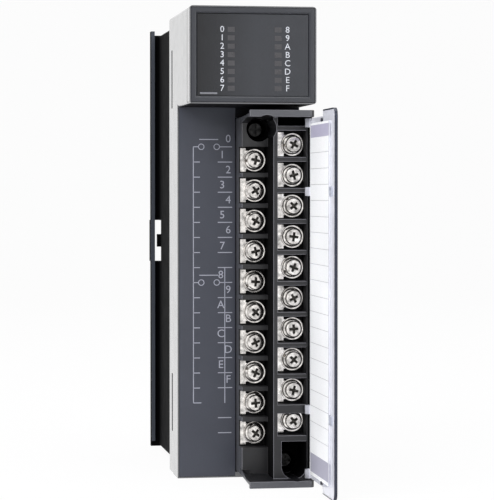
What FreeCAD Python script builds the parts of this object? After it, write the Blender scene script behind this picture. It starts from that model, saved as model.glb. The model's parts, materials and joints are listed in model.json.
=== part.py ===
import FreeCAD, Part
import Sketcher
import math
import os

# A slim rack-mounted digital input module: indicator head, wiring panel, plug-in two-level terminal
# block and hinged cover. Millimetres. +Z is up, the front faces -Y and the rear mounting face is y = 0.
# The cover stands open by a right angle.

SIZES = {
    # whole module
    "width": 34.5,
    "depth": 93.6,
    "joint_gap": 0.3,
    "cut_over": 2.0,
    # front case
    "head_height": 26.2,
    "head_reach": 25.2,
    "seam_depth": 46.0,
    "case_wall": 2.3,
    "front_wall": 2.0,
    "insert_rim": 0.35,
    "head_round": 0.9,
    "seam_round": 1.7,
    "band_depth": 34.8,
    "band_step": 0.25,
    "parting_depth": 4.6,
    "parting_width": 0.45,
    "snap_depth": 38.2,
    "snap_width": 2.1,
    "snap_height": 16.5,
    "snap_upper": 17.7,
    "snap_rise": 20.1,
    # rear case
    "rear_inset": 2.7,
    "rear_end_inset": 1.3,
    "rear_wall": 1.6,
    "rear_plate": 2.0,
    "rear_round": 1.0,
    "tongue_reach": 8.6,
    "hook_lead": 0.7,
    "hook_sink": 0.5,
    "lip_width": 1.1,
    "lip_reach": 3.4,
    "lip_inset": 0.25,
    "lip_top": 0.1,
    "lip_bottom": 3.0,
    "catch_side": 1.35,
    "catch_width": 3.0,
    "catch_reach": 7.6,
    "catch_height": 12.7,
    "catch_above_middle": 0.25,
    "catch_tab_width": 2.1,
    "catch_tab_height": 3.9,
    "catch_tab_sink": 0.3,
    "vent_width": 1.8,
    "vent_length": 18.0,
    "vent_pitch": 5.2,
    "vent_count": 4,
    "vent_depth": 52.0,
    "lug_width": 10.0,
    "lug_height": 9.0,
    "lug_reach": 19.0,
    "lug_hole_radius": 2.25,
    "lug_hole_drop": 4.6,
    "foot_width": 3.0,
    "foot_height": 4.2,
    "foot_reach": 4.4,
    "foot_hook": 1.4,
    "foot_rise": 5.0,
    "foot_spacing": 20.0,
    "guide_width": 1.2,
    "guide_height": 1.6,
    "guide_reach": 26.0,
    # head inserts
    "bezel_thickness": 3.0,
    "bezel_frame": 1.6,
    "bezel_sink": 0.55,
    "bezel_bevel": 0.4,
    "window_thickness": 0.9,
    "window_gap": 0.1,
    "aperture_width": 20.0,
    "aperture_height": 19.2,
    "field_left": 11.3,
    "field_spacing": 12.8,
    "field_pitch": 2.25,
    "field_count": 8,
    "field_first": 6.2,
    "field_width": 1.9,
    "field_height": 1.3,
    "guide_plate": 1.2,
    "guide_length": 5.4,
    "led_length": 1.6,
    "led_gap": 0.4,
    "board_thickness": 1.6,
    # label panel
    "panel_thickness": 1.0,
    # terminal block
    "block_inset": 1.1,
    "block_width": 16.8,
    "block_top": 29.2,
    "block_end_rise": 1.8,
    "block_rear": 33.0,
    "block_float": 0.3,
    "level_one": 15.2,
    "level_two": 6.4,
    "lower_level_width": 7.3,
    "divider_width": 1.2,
    "terminal_pitch": 8.45,
    "terminal_rows": 10,
    "terminal_rib": 1.25,
    "side_wall": 0.5,
    "left_first": 40.9,
    "left_column": 4.25,
    "below_last_row": 13.05,
    "right_first": 36.7,
    "right_column": 3.45,
    "seat_sink": 5.7,
    "plate_thickness": 0.8,
    "plate_height": 6.7,
    "plate_margin": 0.3,
    "tongue_root": 2.35,
    "tongue_reach": 2.6,
    "tongue_height": 5.2,
    "tongue_corner": 1.3,
    "washer_radius": 2.75,
    "washer_thickness": 0.9,
    "screw_head_radius": 2.4,
    "screw_head_height": 1.9,
    "screw_head_sides": 12,
    "screw_shank_sides": 6,
    "screw_radius": 1.5,
    "screw_length": 8.4,
    "screw_slot_width": 0.8,
    "screw_slot_length": 3.2,
    "screw_slot_sink": 1.2,
    "screw_clearance": 0.1,
    "screw_well": 3.8,
    "top_rib_drop": 31.8,
    "hood_drop": 1.2,
    "hood_reach": 2.4,
    # end bars
    "bar_overhang": 0.1,
    "bar_side_gap": 0.15,
    "tip_width": 2.0,
    "bar_front": 1.0,
    "bar_knee": 12.5,
    "bar_root": 24.0,
    "tip_knee": 6.6,
    "tip_root": 17.0,
    "tip_web": 1.0,
    "lip_depth": 1.2,
    "bar_thickness": 1.85,
    "bar_top": 27.7,
    "bar_round": 1.4,
    # captive screws
    "upper_screw_inset": 4.7,
    "upper_screw_drop": 32.5,
    "lower_screw_inset": 3.8,
    "lower_screw_rise": 5.1,
    "access_radius": 3.4,
    "recess_rise": 12.0,
    "captive_seat": 24.0,
    "access_depth": 19.0,
    "counterbore_radius": 2.7,
    "captive_head_radius": 2.4,
    "captive_head_height": 2.4,
    "captive_head_bevel": 0.6,
    "captive_radius": 1.5,
    "captive_length": 12.8,
    "captive_clearance": 0.2,
    "clip_radius": 2.6,
    "clip_thickness": 0.6,
    "clip_pocket": 1.4,
    "nut_radius": 2.4,
    "nut_sides": 6,
    "nut_length": 3.8,
    "boss_wall": 1.4,
    # plug-in connection
    "contact_thickness": 0.8,
    "contact_height": 2.4,
    "contact_root": 3.4,
    "contact_reach": 5.2,
    "socket_side": 2.3,
    "socket_length": 8.4,
    "socket_margin": 4.0,
    "contact_clearance": 0.15,
    "contact_crowding": 1.25,
    "contact_first": 46.4,
    "contact_inset": 6.0,
    "contact_spacing": 5.8,
    # boards and their parts
    "main_board_x": 12.4,
    "main_board_rear": 90.0,
    "main_board_margin": 8.0,
    "terminal_board_side": 0.2,
    "link_width": 2.5,
    "link_height": 40.0,
    "coupler_depth": 54.0,
    "coupler_length": 6.4,
    "coupler_height": 4.6,
    "coupler_rise": 3.4,
    "coupler_pitch": 11.4,
    "coupler_spacing": 11.0,
    "resistor_length": 3.2,
    "resistor_height": 1.6,
    "resistor_rise": 0.7,
    "chip_length": 9.0,
    "chip_height": 18.0,
    "chip_rise": 2.2,
    "chip_pitch": 31.0,
    "chip_count": 3,
    "chip_depth": 76.5,
    "backplane_width": 8.4,
    "backplane_height": 56.0,
    "backplane_front": 82.0,
    "backplane_reach": 4.6,
    "backplane_wall": 1.2,
    "backplane_sink": 8.0,
    "pin_side": 0.6,
    "pin_length": 6.0,
    "pin_pitch": 2.54,
    "pin_rows": 20,
    "pin_spacing": 2.54,
    # cover
    "hinge_inset": 1.05,
    "hinge_depth": 4.7,
    "pivot_radius": 0.75,
    "pivot_length": 2.3,
    "pivot_clearance": 0.06,
    "knuckle_radius": 1.15,
    "knuckle_height": 2.4,
    "cover_thickness": 0.9,
    "cover_side_gap": 1.7,
    "cover_gap": 0.3,
    "ear_clearance": 0.75,
    "ear_top": 28.1,
    "ear_rise": 0.2,
    "cover_round": 2.2,
    "tab_upper": 49.7,
    "tab_rise": 20.9,
    "pip_radius": 0.55,
    "pip_reach": 17.4,
    "pip_drop": 0.9,
    "card_start": 1.6,
    "card_width": 25.6,
    "card_top": 31.3,
    "card_rise": 3.4,
    "card_thickness": 0.25,
    "rail_width": 0.6,
    "rail_rise": 0.45,
}

doc = FreeCAD.newDocument("input_module")
sheet = doc.addObject("Spreadsheet::Sheet", "Sizes")
for row, (alias, number) in enumerate(SIZES.items(), start=1):
    sheet.set(f"A{row}", alias)
    sheet.set(f"B{row}", str(number))
    sheet.setAlias(f"B{row}", alias)
doc.recompute()


class Size:
    """A length together with the formula that gives it from the sheet's cells."""

    def __init__(self, number, formula):
        self.number = number
        self.formula = formula

    def __add__(self, other):
        other = as_size(other)
        return Size(self.number + other.number, f"({self.formula} + {other.formula})")

    def __sub__(self, other):
        other = as_size(other)
        return Size(self.number - other.number, f"({self.formula} - {other.formula})")

    def __mul__(self, other):
        other = as_size(other)
        return Size(self.number * other.number, f"({self.formula} * {other.formula})")

    def __truediv__(self, other):
        other = as_size(other)
        return Size(self.number / other.number, f"({self.formula} / {other.formula})")

    def __neg__(self):
        return Size(-self.number, f"(-1 * {self.formula})")


def as_size(value):
    """Wrap a plain number, such as the 2 of a half, as a Size."""
    if isinstance(value, Size):
        return value
    return Size(float(value), f"({value})")


def cell(alias):
    """The Size of one cell of the sheet."""
    return Size(float(SIZES[alias]), f"Sizes.{alias}")


def bind(thing, prop, size):
    """Tie a property to a formula of the sheet's cells."""
    thing.setExpression(prop, as_size(size).formula)


# The rows of terminals set the height: above the first, between them, and below the last.
HEIGHT = (cell("left_first") + cell("terminal_pitch") * (cell("terminal_rows") - 1)
          + cell("below_last_row"))


# The module's own measures: across from the left side, down from the top, behind the head's face.
def across(size):
    return as_size(size) - cell("width") / 2


def down(size):
    return HEIGHT / 2 - as_size(size)


def behind(size):
    return as_size(size) - cell("depth")


LEFT = across(0)
RIGHT = cell("width") / 2
TOP = HEIGHT / 2
BOTTOM = -TOP
FRONT = behind(0)
REAR = as_size(0)
GAP = cell("joint_gap")
OVER = cell("cut_over")
SUB_PARTS = []


def new_body(name):
    """A body whose label is the name of the piece's file."""
    body = doc.addObject("PartDesign::Body", name)
    body.Label = name
    SUB_PARTS.append(body)
    return body


def origin_feature(body, role):
    """One of the body's own origin planes or axes."""
    for feature in body.Origin.OriginFeatures:
        if feature.Role == role:
            return feature
    raise ValueError(role)


def feature_name(body, kind):
    return f"{body.Label}_{kind}_{len(body.Group)}"


def new_sketch(body, plane, offset):
    """A sketch on one of the body's origin planes, moved along the plane's normal."""
    sketch = body.newObject("Sketcher::SketchObject", feature_name(body, "sketch"))
    sketch.AttachmentSupport = [(origin_feature(body, plane), "")]
    sketch.MapMode = "FlatFace"
    bind(sketch, "AttachmentOffset.Base.z", offset)
    return sketch


def hold_point(sketch, geometry, position, place, tag):
    """Fix one point of a sketch at a place that follows the sheet."""
    for kind, letter, size in (("DistanceX", "x", place[0]), ("DistanceY", "y", place[1])):
        size = as_size(size)
        index = sketch.addConstraint(
            Sketcher.Constraint(kind, -1, 1, geometry, position, size.number))
        sketch.renameConstraint(index, f"{letter}{tag}")
        sketch.setExpression(f"Constraints.{letter}{tag}", size.formula)


def draw_outline(sketch, corners):
    """A closed outline of straight lines through the corners."""
    corners = [(as_size(x), as_size(y)) for x, y in corners]
    first = sketch.GeometryCount
    total = len(corners)
    for index in range(total):
        start = corners[index]
        end = corners[(index + 1) % total]
        sketch.addGeometry(Part.LineSegment(
            FreeCAD.Vector(start[0].number, start[1].number, 0),
            FreeCAD.Vector(end[0].number, end[1].number, 0)), False)
    for index in range(total):
        following = first + (index + 1) % total
        sketch.addConstraint(
            Sketcher.Constraint("Coincident", first + index, 2, following, 1))
    for index, corner in enumerate(corners):
        hold_point(sketch, first + index, 1, corner, first + index)


def draw_circle(sketch, centre, radius):
    """A circle whose centre and radius follow the sheet."""
    number = sketch.GeometryCount
    middle = FreeCAD.Vector(as_size(centre[0]).number, as_size(centre[1]).number, 0)
    sketch.addGeometry(Part.Circle(middle, FreeCAD.Vector(0, 0, 1), radius.number), False)
    index = sketch.addConstraint(Sketcher.Constraint("Radius", number, radius.number))
    sketch.renameConstraint(index, f"r{number}")
    sketch.setExpression(f"Constraints.r{number}", radius.formula)
    hold_point(sketch, number, 3, centre, number)


def rectangle(low_x, high_x, low_y, high_y):
    return [(low_x, low_y), (high_x, low_y), (high_x, high_y), (low_x, high_y)]


def polygon(centre, radius, sides):
    """Corners of a regular polygon round a centre."""
    corners = []
    for corner in range(SIZES[sides]):
        angle = math.tau * (corner + 1 / 2) / SIZES[sides]
        corners.append((centre[0] + radius * round(math.cos(angle), 6),
                        centre[1] + radius * round(math.sin(angle), 6)))
    return corners


def extrude(body, plane, shapes, start, stop, removes):
    """Pad or pocket outlines and circles between two places along the plane's axis."""
    start = as_size(start)
    stop = as_size(stop)
    against_axis = (plane == "XZ_Plane")
    if against_axis != removes:
        base = stop
    else:
        base = start
    sketch = new_sketch(body, plane, -base if against_axis else base)
    for shape in shapes:
        if isinstance(shape, list):
            draw_outline(sketch, shape)
        else:
            draw_circle(sketch, shape[0], shape[1])
    kind = "Pocket" if removes else "Pad"
    feature = body.newObject(f"PartDesign::{kind}", feature_name(body, kind.lower()))
    feature.Profile = sketch
    bind(feature, "Length", stop - start)
    return feature


def pad(body, plane, shapes, start, stop):
    return extrude(body, plane, shapes, start, stop, False)


def pocket(body, plane, shapes, start, stop):
    return extrude(body, plane, shapes, start, stop, True)


def revolve(body, profile):
    """Turn a half profile, given as (radius, along) corners, about the body's own Y axis."""
    sketch = new_sketch(body, "XY_Plane", 0)
    draw_outline(sketch, profile)
    feature = body.newObject("PartDesign::Revolution", feature_name(body, "turned"))
    feature.Profile = sketch
    feature.ReferenceAxis = (sketch, ["V_Axis"])
    feature.Angle = 360
    return feature


def repeat_down(body, originals, pitch, count):
    """Copies of features down the module's height."""
    pattern = body.newObject("PartDesign::LinearPattern", feature_name(body, "row"))
    pattern.Originals = originals
    pattern.Direction = (origin_feature(body, "Z_Axis"), [""])
    pattern.Reversed = True
    bind(pattern, "Length", pitch * (count - 1))
    bind(pattern, "Occurrences", count)
    body.Tip = pattern
    return pattern


def repeat_along(body, originals, axis, pitch, count):
    """Copies of features along one of the body's axes."""
    pattern = body.newObject("PartDesign::LinearPattern", feature_name(body, "row"))
    pattern.Originals = originals
    pattern.Direction = (origin_feature(body, axis), [""])
    bind(pattern, "Length", pitch * (count - 1))
    bind(pattern, "Occurrences", count)
    body.Tip = pattern
    return pattern


def mirror_sideways(body, originals):
    """Copies of features on the other side of the module's middle plane."""
    mirrored = body.newObject("PartDesign::Mirrored", feature_name(body, "mirror"))
    mirrored.Originals = originals
    mirrored.MirrorPlane = (origin_feature(body, "YZ_Plane"), [""])
    body.Tip = mirrored
    return mirrored


def edges_at(shape, direction, *places):
    """Names of straight edges along one axis whose middle lies at one of the places."""
    names = []
    for number, edge in enumerate(shape.Edges, start=1):
        if edge.Curve.TypeId != "Part::GeomLine":
            continue
        along = edge.Vertexes[-1].Point - edge.Vertexes[0].Point
        if along.Length < 1e-6 or abs(abs(along.dot(direction)) - along.Length) > 1e-6:
            continue
        middle = edge.CenterOfMass
        for place in places:
            offsets = [abs(middle[axis] - goal.number) for axis, goal in place.items()]
            if max(offsets) < 1e-3:
                names.append(f"Edge{number}")
                break
    return names


def dress(body, kind, base, names, prop, size):
    """A fillet or chamfer on named edges of a feature."""
    feature = body.newObject(f"PartDesign::{kind}", feature_name(body, kind.lower()))
    feature.Base = (base, names)
    bind(feature, prop, size)
    body.Tip = feature
    return feature


def place(body, x, y, z):
    """Move a piece that was drawn about its own axis to its seat."""
    for letter, size in (("x", x), ("y", y), ("z", z)):
        bind(body, f"Placement.Base.{letter}", size)


X_AXIS = FreeCAD.Vector(1, 0, 0)
Y_AXIS = FreeCAD.Vector(0, 1, 0)
Z_AXIS = FreeCAD.Vector(0, 0, 1)

# Places that several pieces share.
HEAD_BOTTOM = down(cell("head_height"))
LABEL_FACE = behind(cell("head_reach"))
SEAM = behind(cell("seam_depth"))
WALL = cell("case_wall")
INNER_LEFT = LEFT + WALL
INNER_RIGHT = RIGHT - WALL
INNER_TOP = TOP - WALL
INNER_BOTTOM = BOTTOM + WALL
BLOCK_RIGHT = RIGHT - cell("block_inset")
BLOCK_LEFT = BLOCK_RIGHT - cell("block_width")
BLOCK_TOP = down(cell("block_top"))
BLOCK_BOTTOM = BOTTOM + cell("block_end_rise")
BLOCK_REAR = behind(cell("block_rear"))
RECESS_FLOOR = BLOCK_REAR + cell("block_float")
RECESS_BACK = RECESS_FLOOR + cell("front_wall")
RECESS_LEFT = BLOCK_LEFT - cell("block_float")
LEVEL_ONE = behind(cell("level_one"))
LEVEL_TWO = behind(cell("level_two"))
DIVIDER_LEFT = BLOCK_LEFT + cell("lower_level_width")
DIVIDER_RIGHT = DIVIDER_LEFT + cell("divider_width")
PITCH = cell("terminal_pitch")
ROWS = cell("terminal_rows")
SEAT_ONE = LEVEL_ONE + cell("seat_sink")
SEAT_TWO = LEVEL_TWO + cell("seat_sink")
UPPER_SCREW = (BLOCK_LEFT + cell("upper_screw_inset"), down(cell("upper_screw_drop")))
LOWER_SCREW = (BLOCK_RIGHT - cell("lower_screw_inset"), BOTTOM + cell("lower_screw_rise"))
COLUMN_ONE = BLOCK_LEFT + cell("left_column")
COLUMN_TWO = BLOCK_RIGHT - cell("right_column")
CONTACT_FIRST = down(cell("contact_first"))
CONTACT_PITCH = PITCH - cell("contact_crowding")
CONTACT_RIGHT = BLOCK_RIGHT - cell("contact_inset")
CONTACT_LEFT = CONTACT_RIGHT - cell("contact_spacing")
CONTACT_COLUMNS = (CONTACT_LEFT, CONTACT_RIGHT)
SOCKET_LEFT = CONTACT_LEFT - cell("socket_side")
SOCKET_RIGHT = CONTACT_RIGHT + cell("socket_side")
SOCKET_TOP = CONTACT_FIRST + cell("socket_margin")
SOCKET_BOTTOM = CONTACT_FIRST - CONTACT_PITCH * (ROWS - 1) - cell("socket_margin")
SOCKET_FRONT = RECESS_FLOOR
SOCKET_REAR = SOCKET_FRONT + cell("socket_length")
MAIN_LEFT = across(cell("main_board_x"))
MAIN_RIGHT = MAIN_LEFT + cell("board_thickness")
TONGUE_FRONT = SEAM - cell("tongue_reach")
TONGUE_INSET = WALL + GAP
TONGUE_INNER = TONGUE_INSET + cell("rear_wall")
LUG_FLOOR = TOP - cell("rear_end_inset") - cell("lug_height")
LUG_FRONT = -cell("lug_reach")
BACKPLANE_LEFT = MAIN_RIGHT
BACKPLANE_RIGHT = BACKPLANE_LEFT + cell("backplane_width")
BACKPLANE_HALF = cell("backplane_height") / 2
HINGE_X = RIGHT - cell("hinge_inset")
HINGE_Y = behind(cell("hinge_depth"))
BAR_TOP_OUT = down(cell("bar_top"))
BAR_TOP_IN = BAR_TOP_OUT - cell("bar_thickness")
BAR_LOW_OUT = BOTTOM
BAR_LEFT = BLOCK_LEFT - cell("bar_overhang")
BAR_LOW_IN = BAR_LOW_OUT + cell("bar_thickness")
FIELD_LEFT = across(cell("field_left"))
BEZEL_REAR = FRONT + cell("bezel_thickness")
WINDOW_FRONT = FRONT + cell("bezel_sink")
WINDOW_REAR = WINDOW_FRONT + cell("window_thickness")
GUIDE_FRONT = WINDOW_REAR + cell("window_gap")
GUIDE_REAR = GUIDE_FRONT + cell("guide_length")
LED_FRONT = GUIDE_REAR + cell("led_gap")
INDICATOR_BOARD = LED_FRONT + cell("led_length")
APERTURE_TOP = down(cell("field_first") - cell("field_pitch"))


def front_case():
    """Grey moulding: hollow head, side walls, front wall and the open recess for the block."""
    body = new_body("front_case")
    pad(body, "XZ_Plane", [rectangle(LEFT, RIGHT, BOTTOM, TOP)], LABEL_FACE, SEAM)
    head = pad(body, "XZ_Plane", [rectangle(LEFT, RIGHT, HEAD_BOTTOM, TOP)], FRONT, LABEL_FACE)
    doc.recompute()
    corners = edges_at(
        head.Shape, Y_AXIS,
        {0: LEFT, 2: TOP}, {0: RIGHT, 2: TOP}, {0: LEFT, 2: HEAD_BOTTOM}, {0: RIGHT, 2: HEAD_BOTTOM})
    rounded = dress(body, "Fillet", head, corners, "Radius", cell("head_round"))
    doc.recompute()
    ends = edges_at(rounded.Shape, X_AXIS, {1: SEAM, 2: TOP}, {1: SEAM, 2: BOTTOM})
    dress(body, "Fillet", rounded, ends, "Radius", cell("seam_round"))
    # hollow of the head, of the left half and of the space behind the recess
    recess_wall_left = RECESS_LEFT - cell("front_wall")
    panel_wall = LABEL_FACE + cell("panel_thickness") + cell("front_wall")
    pocket(body, "XZ_Plane", [rectangle(INNER_LEFT, INNER_RIGHT, HEAD_BOTTOM + WALL, INNER_TOP)],
           BEZEL_REAR, RECESS_BACK)
    pocket(body, "XZ_Plane", [rectangle(INNER_LEFT, recess_wall_left, INNER_BOTTOM, INNER_TOP)],
           panel_wall, RECESS_BACK)
    pocket(body, "XZ_Plane", [rectangle(INNER_LEFT, INNER_RIGHT, INNER_BOTTOM, INNER_TOP)],
           RECESS_BACK, SEAM + OVER)
    # recess that takes the back of the terminal block, open at the right side
    pocket(body, "XZ_Plane",
           [rectangle(RECESS_LEFT, RIGHT + OVER, BLOCK_BOTTOM - cell("block_float"),
                      BLOCK_TOP + cell("block_float"))],
           LABEL_FACE - OVER, RECESS_FLOOR)
    # seats of the bezel and of the label panel inside a thin rim
    rim = cell("insert_rim")
    pocket(body, "XZ_Plane", [rectangle(LEFT + rim, RIGHT - rim, HEAD_BOTTOM + rim, TOP - rim)],
           FRONT - OVER, BEZEL_REAR)
    pocket(body, "XZ_Plane", [rectangle(LEFT + rim, RECESS_LEFT, BOTTOM + rim, HEAD_BOTTOM)],
           LABEL_FACE - OVER, LABEL_FACE + cell("panel_thickness"))
    # window for the block's socket, and bosses for the two nuts
    pocket(body, "XZ_Plane",
           [rectangle(SOCKET_LEFT - GAP, SOCKET_RIGHT + GAP, SOCKET_BOTTOM - GAP, SOCKET_TOP + GAP)],
           RECESS_FLOOR - OVER, RECESS_BACK)
    nut_rear = RECESS_FLOOR + cell("nut_length")
    boss = cell("nut_radius") + cell("boss_wall")
    pad(body, "XZ_Plane", [(UPPER_SCREW, boss), (LOWER_SCREW, boss)], RECESS_FLOOR, nut_rear)
    pocket(body, "XZ_Plane",
           [polygon(centre, cell("nut_radius"), "nut_sides") for centre in (UPPER_SCREW, LOWER_SCREW)],
           RECESS_FLOOR - OVER, nut_rear + OVER)
    # windows for the rear case's hooks through both sides
    snap_front = behind(cell("snap_depth"))
    snap_rear = snap_front + cell("snap_width")
    half = cell("snap_height") / 2
    windows = []
    for middle in (down(cell("snap_upper")), BOTTOM + cell("snap_rise")):
        windows.append(rectangle(snap_front, snap_rear, middle - half, middle + half))
    pocket(body, "YZ_Plane", windows, LEFT - OVER, INNER_LEFT + OVER)
    pocket(body, "YZ_Plane", windows, INNER_RIGHT - OVER, RIGHT + OVER)
    # narrower band before the seam, and the groove at the front edge
    step = cell("band_step")
    band_front = behind(cell("band_depth"))
    groove_front = behind(cell("parting_depth"))
    groove_rear = groove_front + cell("parting_width")
    for front, rear, low in ((band_front, SEAM + OVER, BOTTOM), (groove_front, groove_rear, HEAD_BOTTOM)):
        strips = [rectangle(LEFT - OVER, LEFT + step, low - OVER, TOP + OVER),
                  rectangle(RIGHT - step, RIGHT + OVER, low - OVER, TOP + OVER)]
        pocket(body, "XZ_Plane", strips, front, rear)


def rear_case():
    """Black moulding set in at the sides, with its flange, snap hooks, vents and mounting feet."""
    body = new_body("rear_case")
    inset = cell("rear_inset")
    end_inset = cell("rear_end_inset")
    left = LEFT + inset
    right = RIGHT - inset
    top = TOP - end_inset
    bottom = BOTTOM + end_inset
    shell_front = SEAM + GAP / 3
    shell = pad(body, "XZ_Plane", [rectangle(left, right, bottom, top)], shell_front, REAR)
    doc.recompute()
    corners = edges_at(shell.Shape, Y_AXIS, {0: left, 2: top}, {0: right, 2: top},
                       {0: left, 2: bottom}, {0: right, 2: bottom})
    dress(body, "Fillet", shell, corners, "Radius", cell("rear_round"))
    pad(body, "XZ_Plane",
        [rectangle(LEFT + TONGUE_INSET, RIGHT - TONGUE_INSET, BOTTOM + TONGUE_INSET, TOP - TONGUE_INSET)],
        TONGUE_FRONT, shell_front)
    inner_left = LEFT + TONGUE_INNER
    inner_right = RIGHT - TONGUE_INNER
    inner_top = TOP - TONGUE_INNER
    inner_bottom = BOTTOM + TONGUE_INNER
    pocket(body, "XZ_Plane", [rectangle(inner_left, inner_right, inner_bottom, inner_top)],
           TONGUE_FRONT - OVER, -cell("rear_plate"))
    # rear flange as wide as the module, with a raised lip along each side
    lip_left = LEFT + cell("lip_inset")
    lip_top = TOP - cell("lip_top")
    lip_bottom = BOTTOM + cell("lip_bottom")
    pad(body, "XZ_Plane", [rectangle(lip_left, -lip_left, bottom, top)], -cell("rear_plate"), REAR)
    lip = pad(body, "XZ_Plane",
              [rectangle(lip_left, lip_left + cell("lip_width"), lip_bottom, lip_top)],
              -cell("lip_reach"), REAR)
    catch_middle = cell("catch_above_middle")
    catch_half = cell("catch_height") / 2
    bulge = pad(body, "XZ_Plane",
                [rectangle(LEFT, lip_left + cell("lip_width"),
                           catch_middle - catch_half, catch_middle + catch_half)],
                -cell("lip_reach"), REAR)
    mirror_sideways(body, [lip, bulge])
    # through window beside each lip at mid height, with its catch tab
    catch_left = LEFT + cell("catch_side")
    catch_right = catch_left + cell("catch_width")
    window = pocket(body, "XZ_Plane",
                    [rectangle(catch_left, catch_right, catch_middle - catch_half,
                               catch_middle + catch_half)],
                    -cell("catch_reach"), REAR + OVER)
    mirror_sideways(body, [window])
    tab_half = cell("catch_tab_height") / 2
    sink = cell("catch_tab_sink")
    tab = pad(body, "XZ_Plane",
              [rectangle(catch_right - cell("catch_tab_width"), catch_right + sink,
                         catch_middle - tab_half, catch_middle + tab_half)],
              sink - cell("rear_plate"), -sink)
    mirror_sideways(body, [tab])
    # recess at the top for the fixing screw, with its lug hole in the rear plate
    lug_half = cell("lug_width") / 2
    skin = cell("rear_wall")
    pad(body, "XZ_Plane", [rectangle(-lug_half - skin, lug_half + skin, LUG_FLOOR - skin, top)],
        LUG_FRONT - skin, -cell("rear_plate"))
    pocket(body, "XZ_Plane", [rectangle(-lug_half, lug_half, LUG_FLOOR, top + OVER)],
           LUG_FRONT, -cell("rear_plate"))
    hole_centre = (as_size(0), top - cell("lug_hole_drop"))
    pocket(body, "XZ_Plane", [(hole_centre, cell("lug_hole_radius"))], -cell("rear_plate") - OVER, OVER)
    # opening for the backplane connector
    pocket(body, "XZ_Plane",
           [rectangle(BACKPLANE_LEFT - GAP, BACKPLANE_RIGHT + GAP, -BACKPLANE_HALF - GAP,
                      BACKPLANE_HALF + GAP)],
           -cell("rear_plate") - OVER, OVER)
    # guide ribs that hold the main board at its upper and lower edge
    rib = cell("guide_width")
    rise = cell("guide_height")
    for low_x in (MAIN_LEFT - GAP - rib, MAIN_RIGHT + GAP):
        pad(body, "XZ_Plane",
            [rectangle(low_x, low_x + rib, inner_bottom - skin / 2, inner_bottom + rise),
             rectangle(low_x, low_x + rib, inner_top - rise, inner_top + skin / 2)],
            SEAM, SEAM + cell("guide_reach"))
    # snap hooks that catch in the front case's windows, sloped at their leading side
    snap_front = behind(cell("snap_depth")) + GAP / 2
    snap_rear = behind(cell("snap_depth")) + cell("snap_width") - GAP / 2
    half = cell("snap_height") / 2 - GAP
    for middle in (down(cell("snap_upper")), BOTTOM + cell("snap_rise")):
        outer = LEFT + cell("band_step") + cell("hook_sink")
        root = LEFT + TONGUE_INSET
        outline = [(root, snap_front), (outer, snap_front + cell("hook_lead")), (outer, snap_rear),
                   (root, snap_rear)]
        hook = pad(body, "XY_Plane", [outline], middle - half, middle + half)
        mirror_sideways(body, [hook])
    # vent slots across the top and the bottom
    vent_front = behind(cell("vent_depth"))
    slot_half = cell("vent_length") / 2
    slot = rectangle(-slot_half, slot_half, vent_front, vent_front + cell("vent_width"))
    for low, high in ((inner_top - OVER / 4, TOP), (BOTTOM, inner_bottom + OVER / 4)):
        vent = pocket(body, "XY_Plane", [slot], low, high)
        repeat_along(body, [vent], "Y_Axis", cell("vent_pitch"), cell("vent_count"))
    # two hooked feet at the lower rear that hang the module in its base
    foot_low = bottom + cell("foot_rise")
    foot_high = foot_low + cell("foot_height")
    reach = cell("foot_reach")
    hook_in = reach - cell("foot_hook")
    outline = [(REAR, foot_low), (reach, foot_low), (reach, foot_high),
               (hook_in, foot_high), (hook_in, foot_high - cell("foot_hook")),
               (REAR, foot_high - cell("foot_hook"))]
    foot_middle = cell("foot_spacing") / 2
    foot_half = cell("foot_width") / 2
    foot = pad(body, "YZ_Plane", [outline], foot_middle - foot_half, foot_middle + foot_half)
    mirror_sideways(body, [foot])


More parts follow.
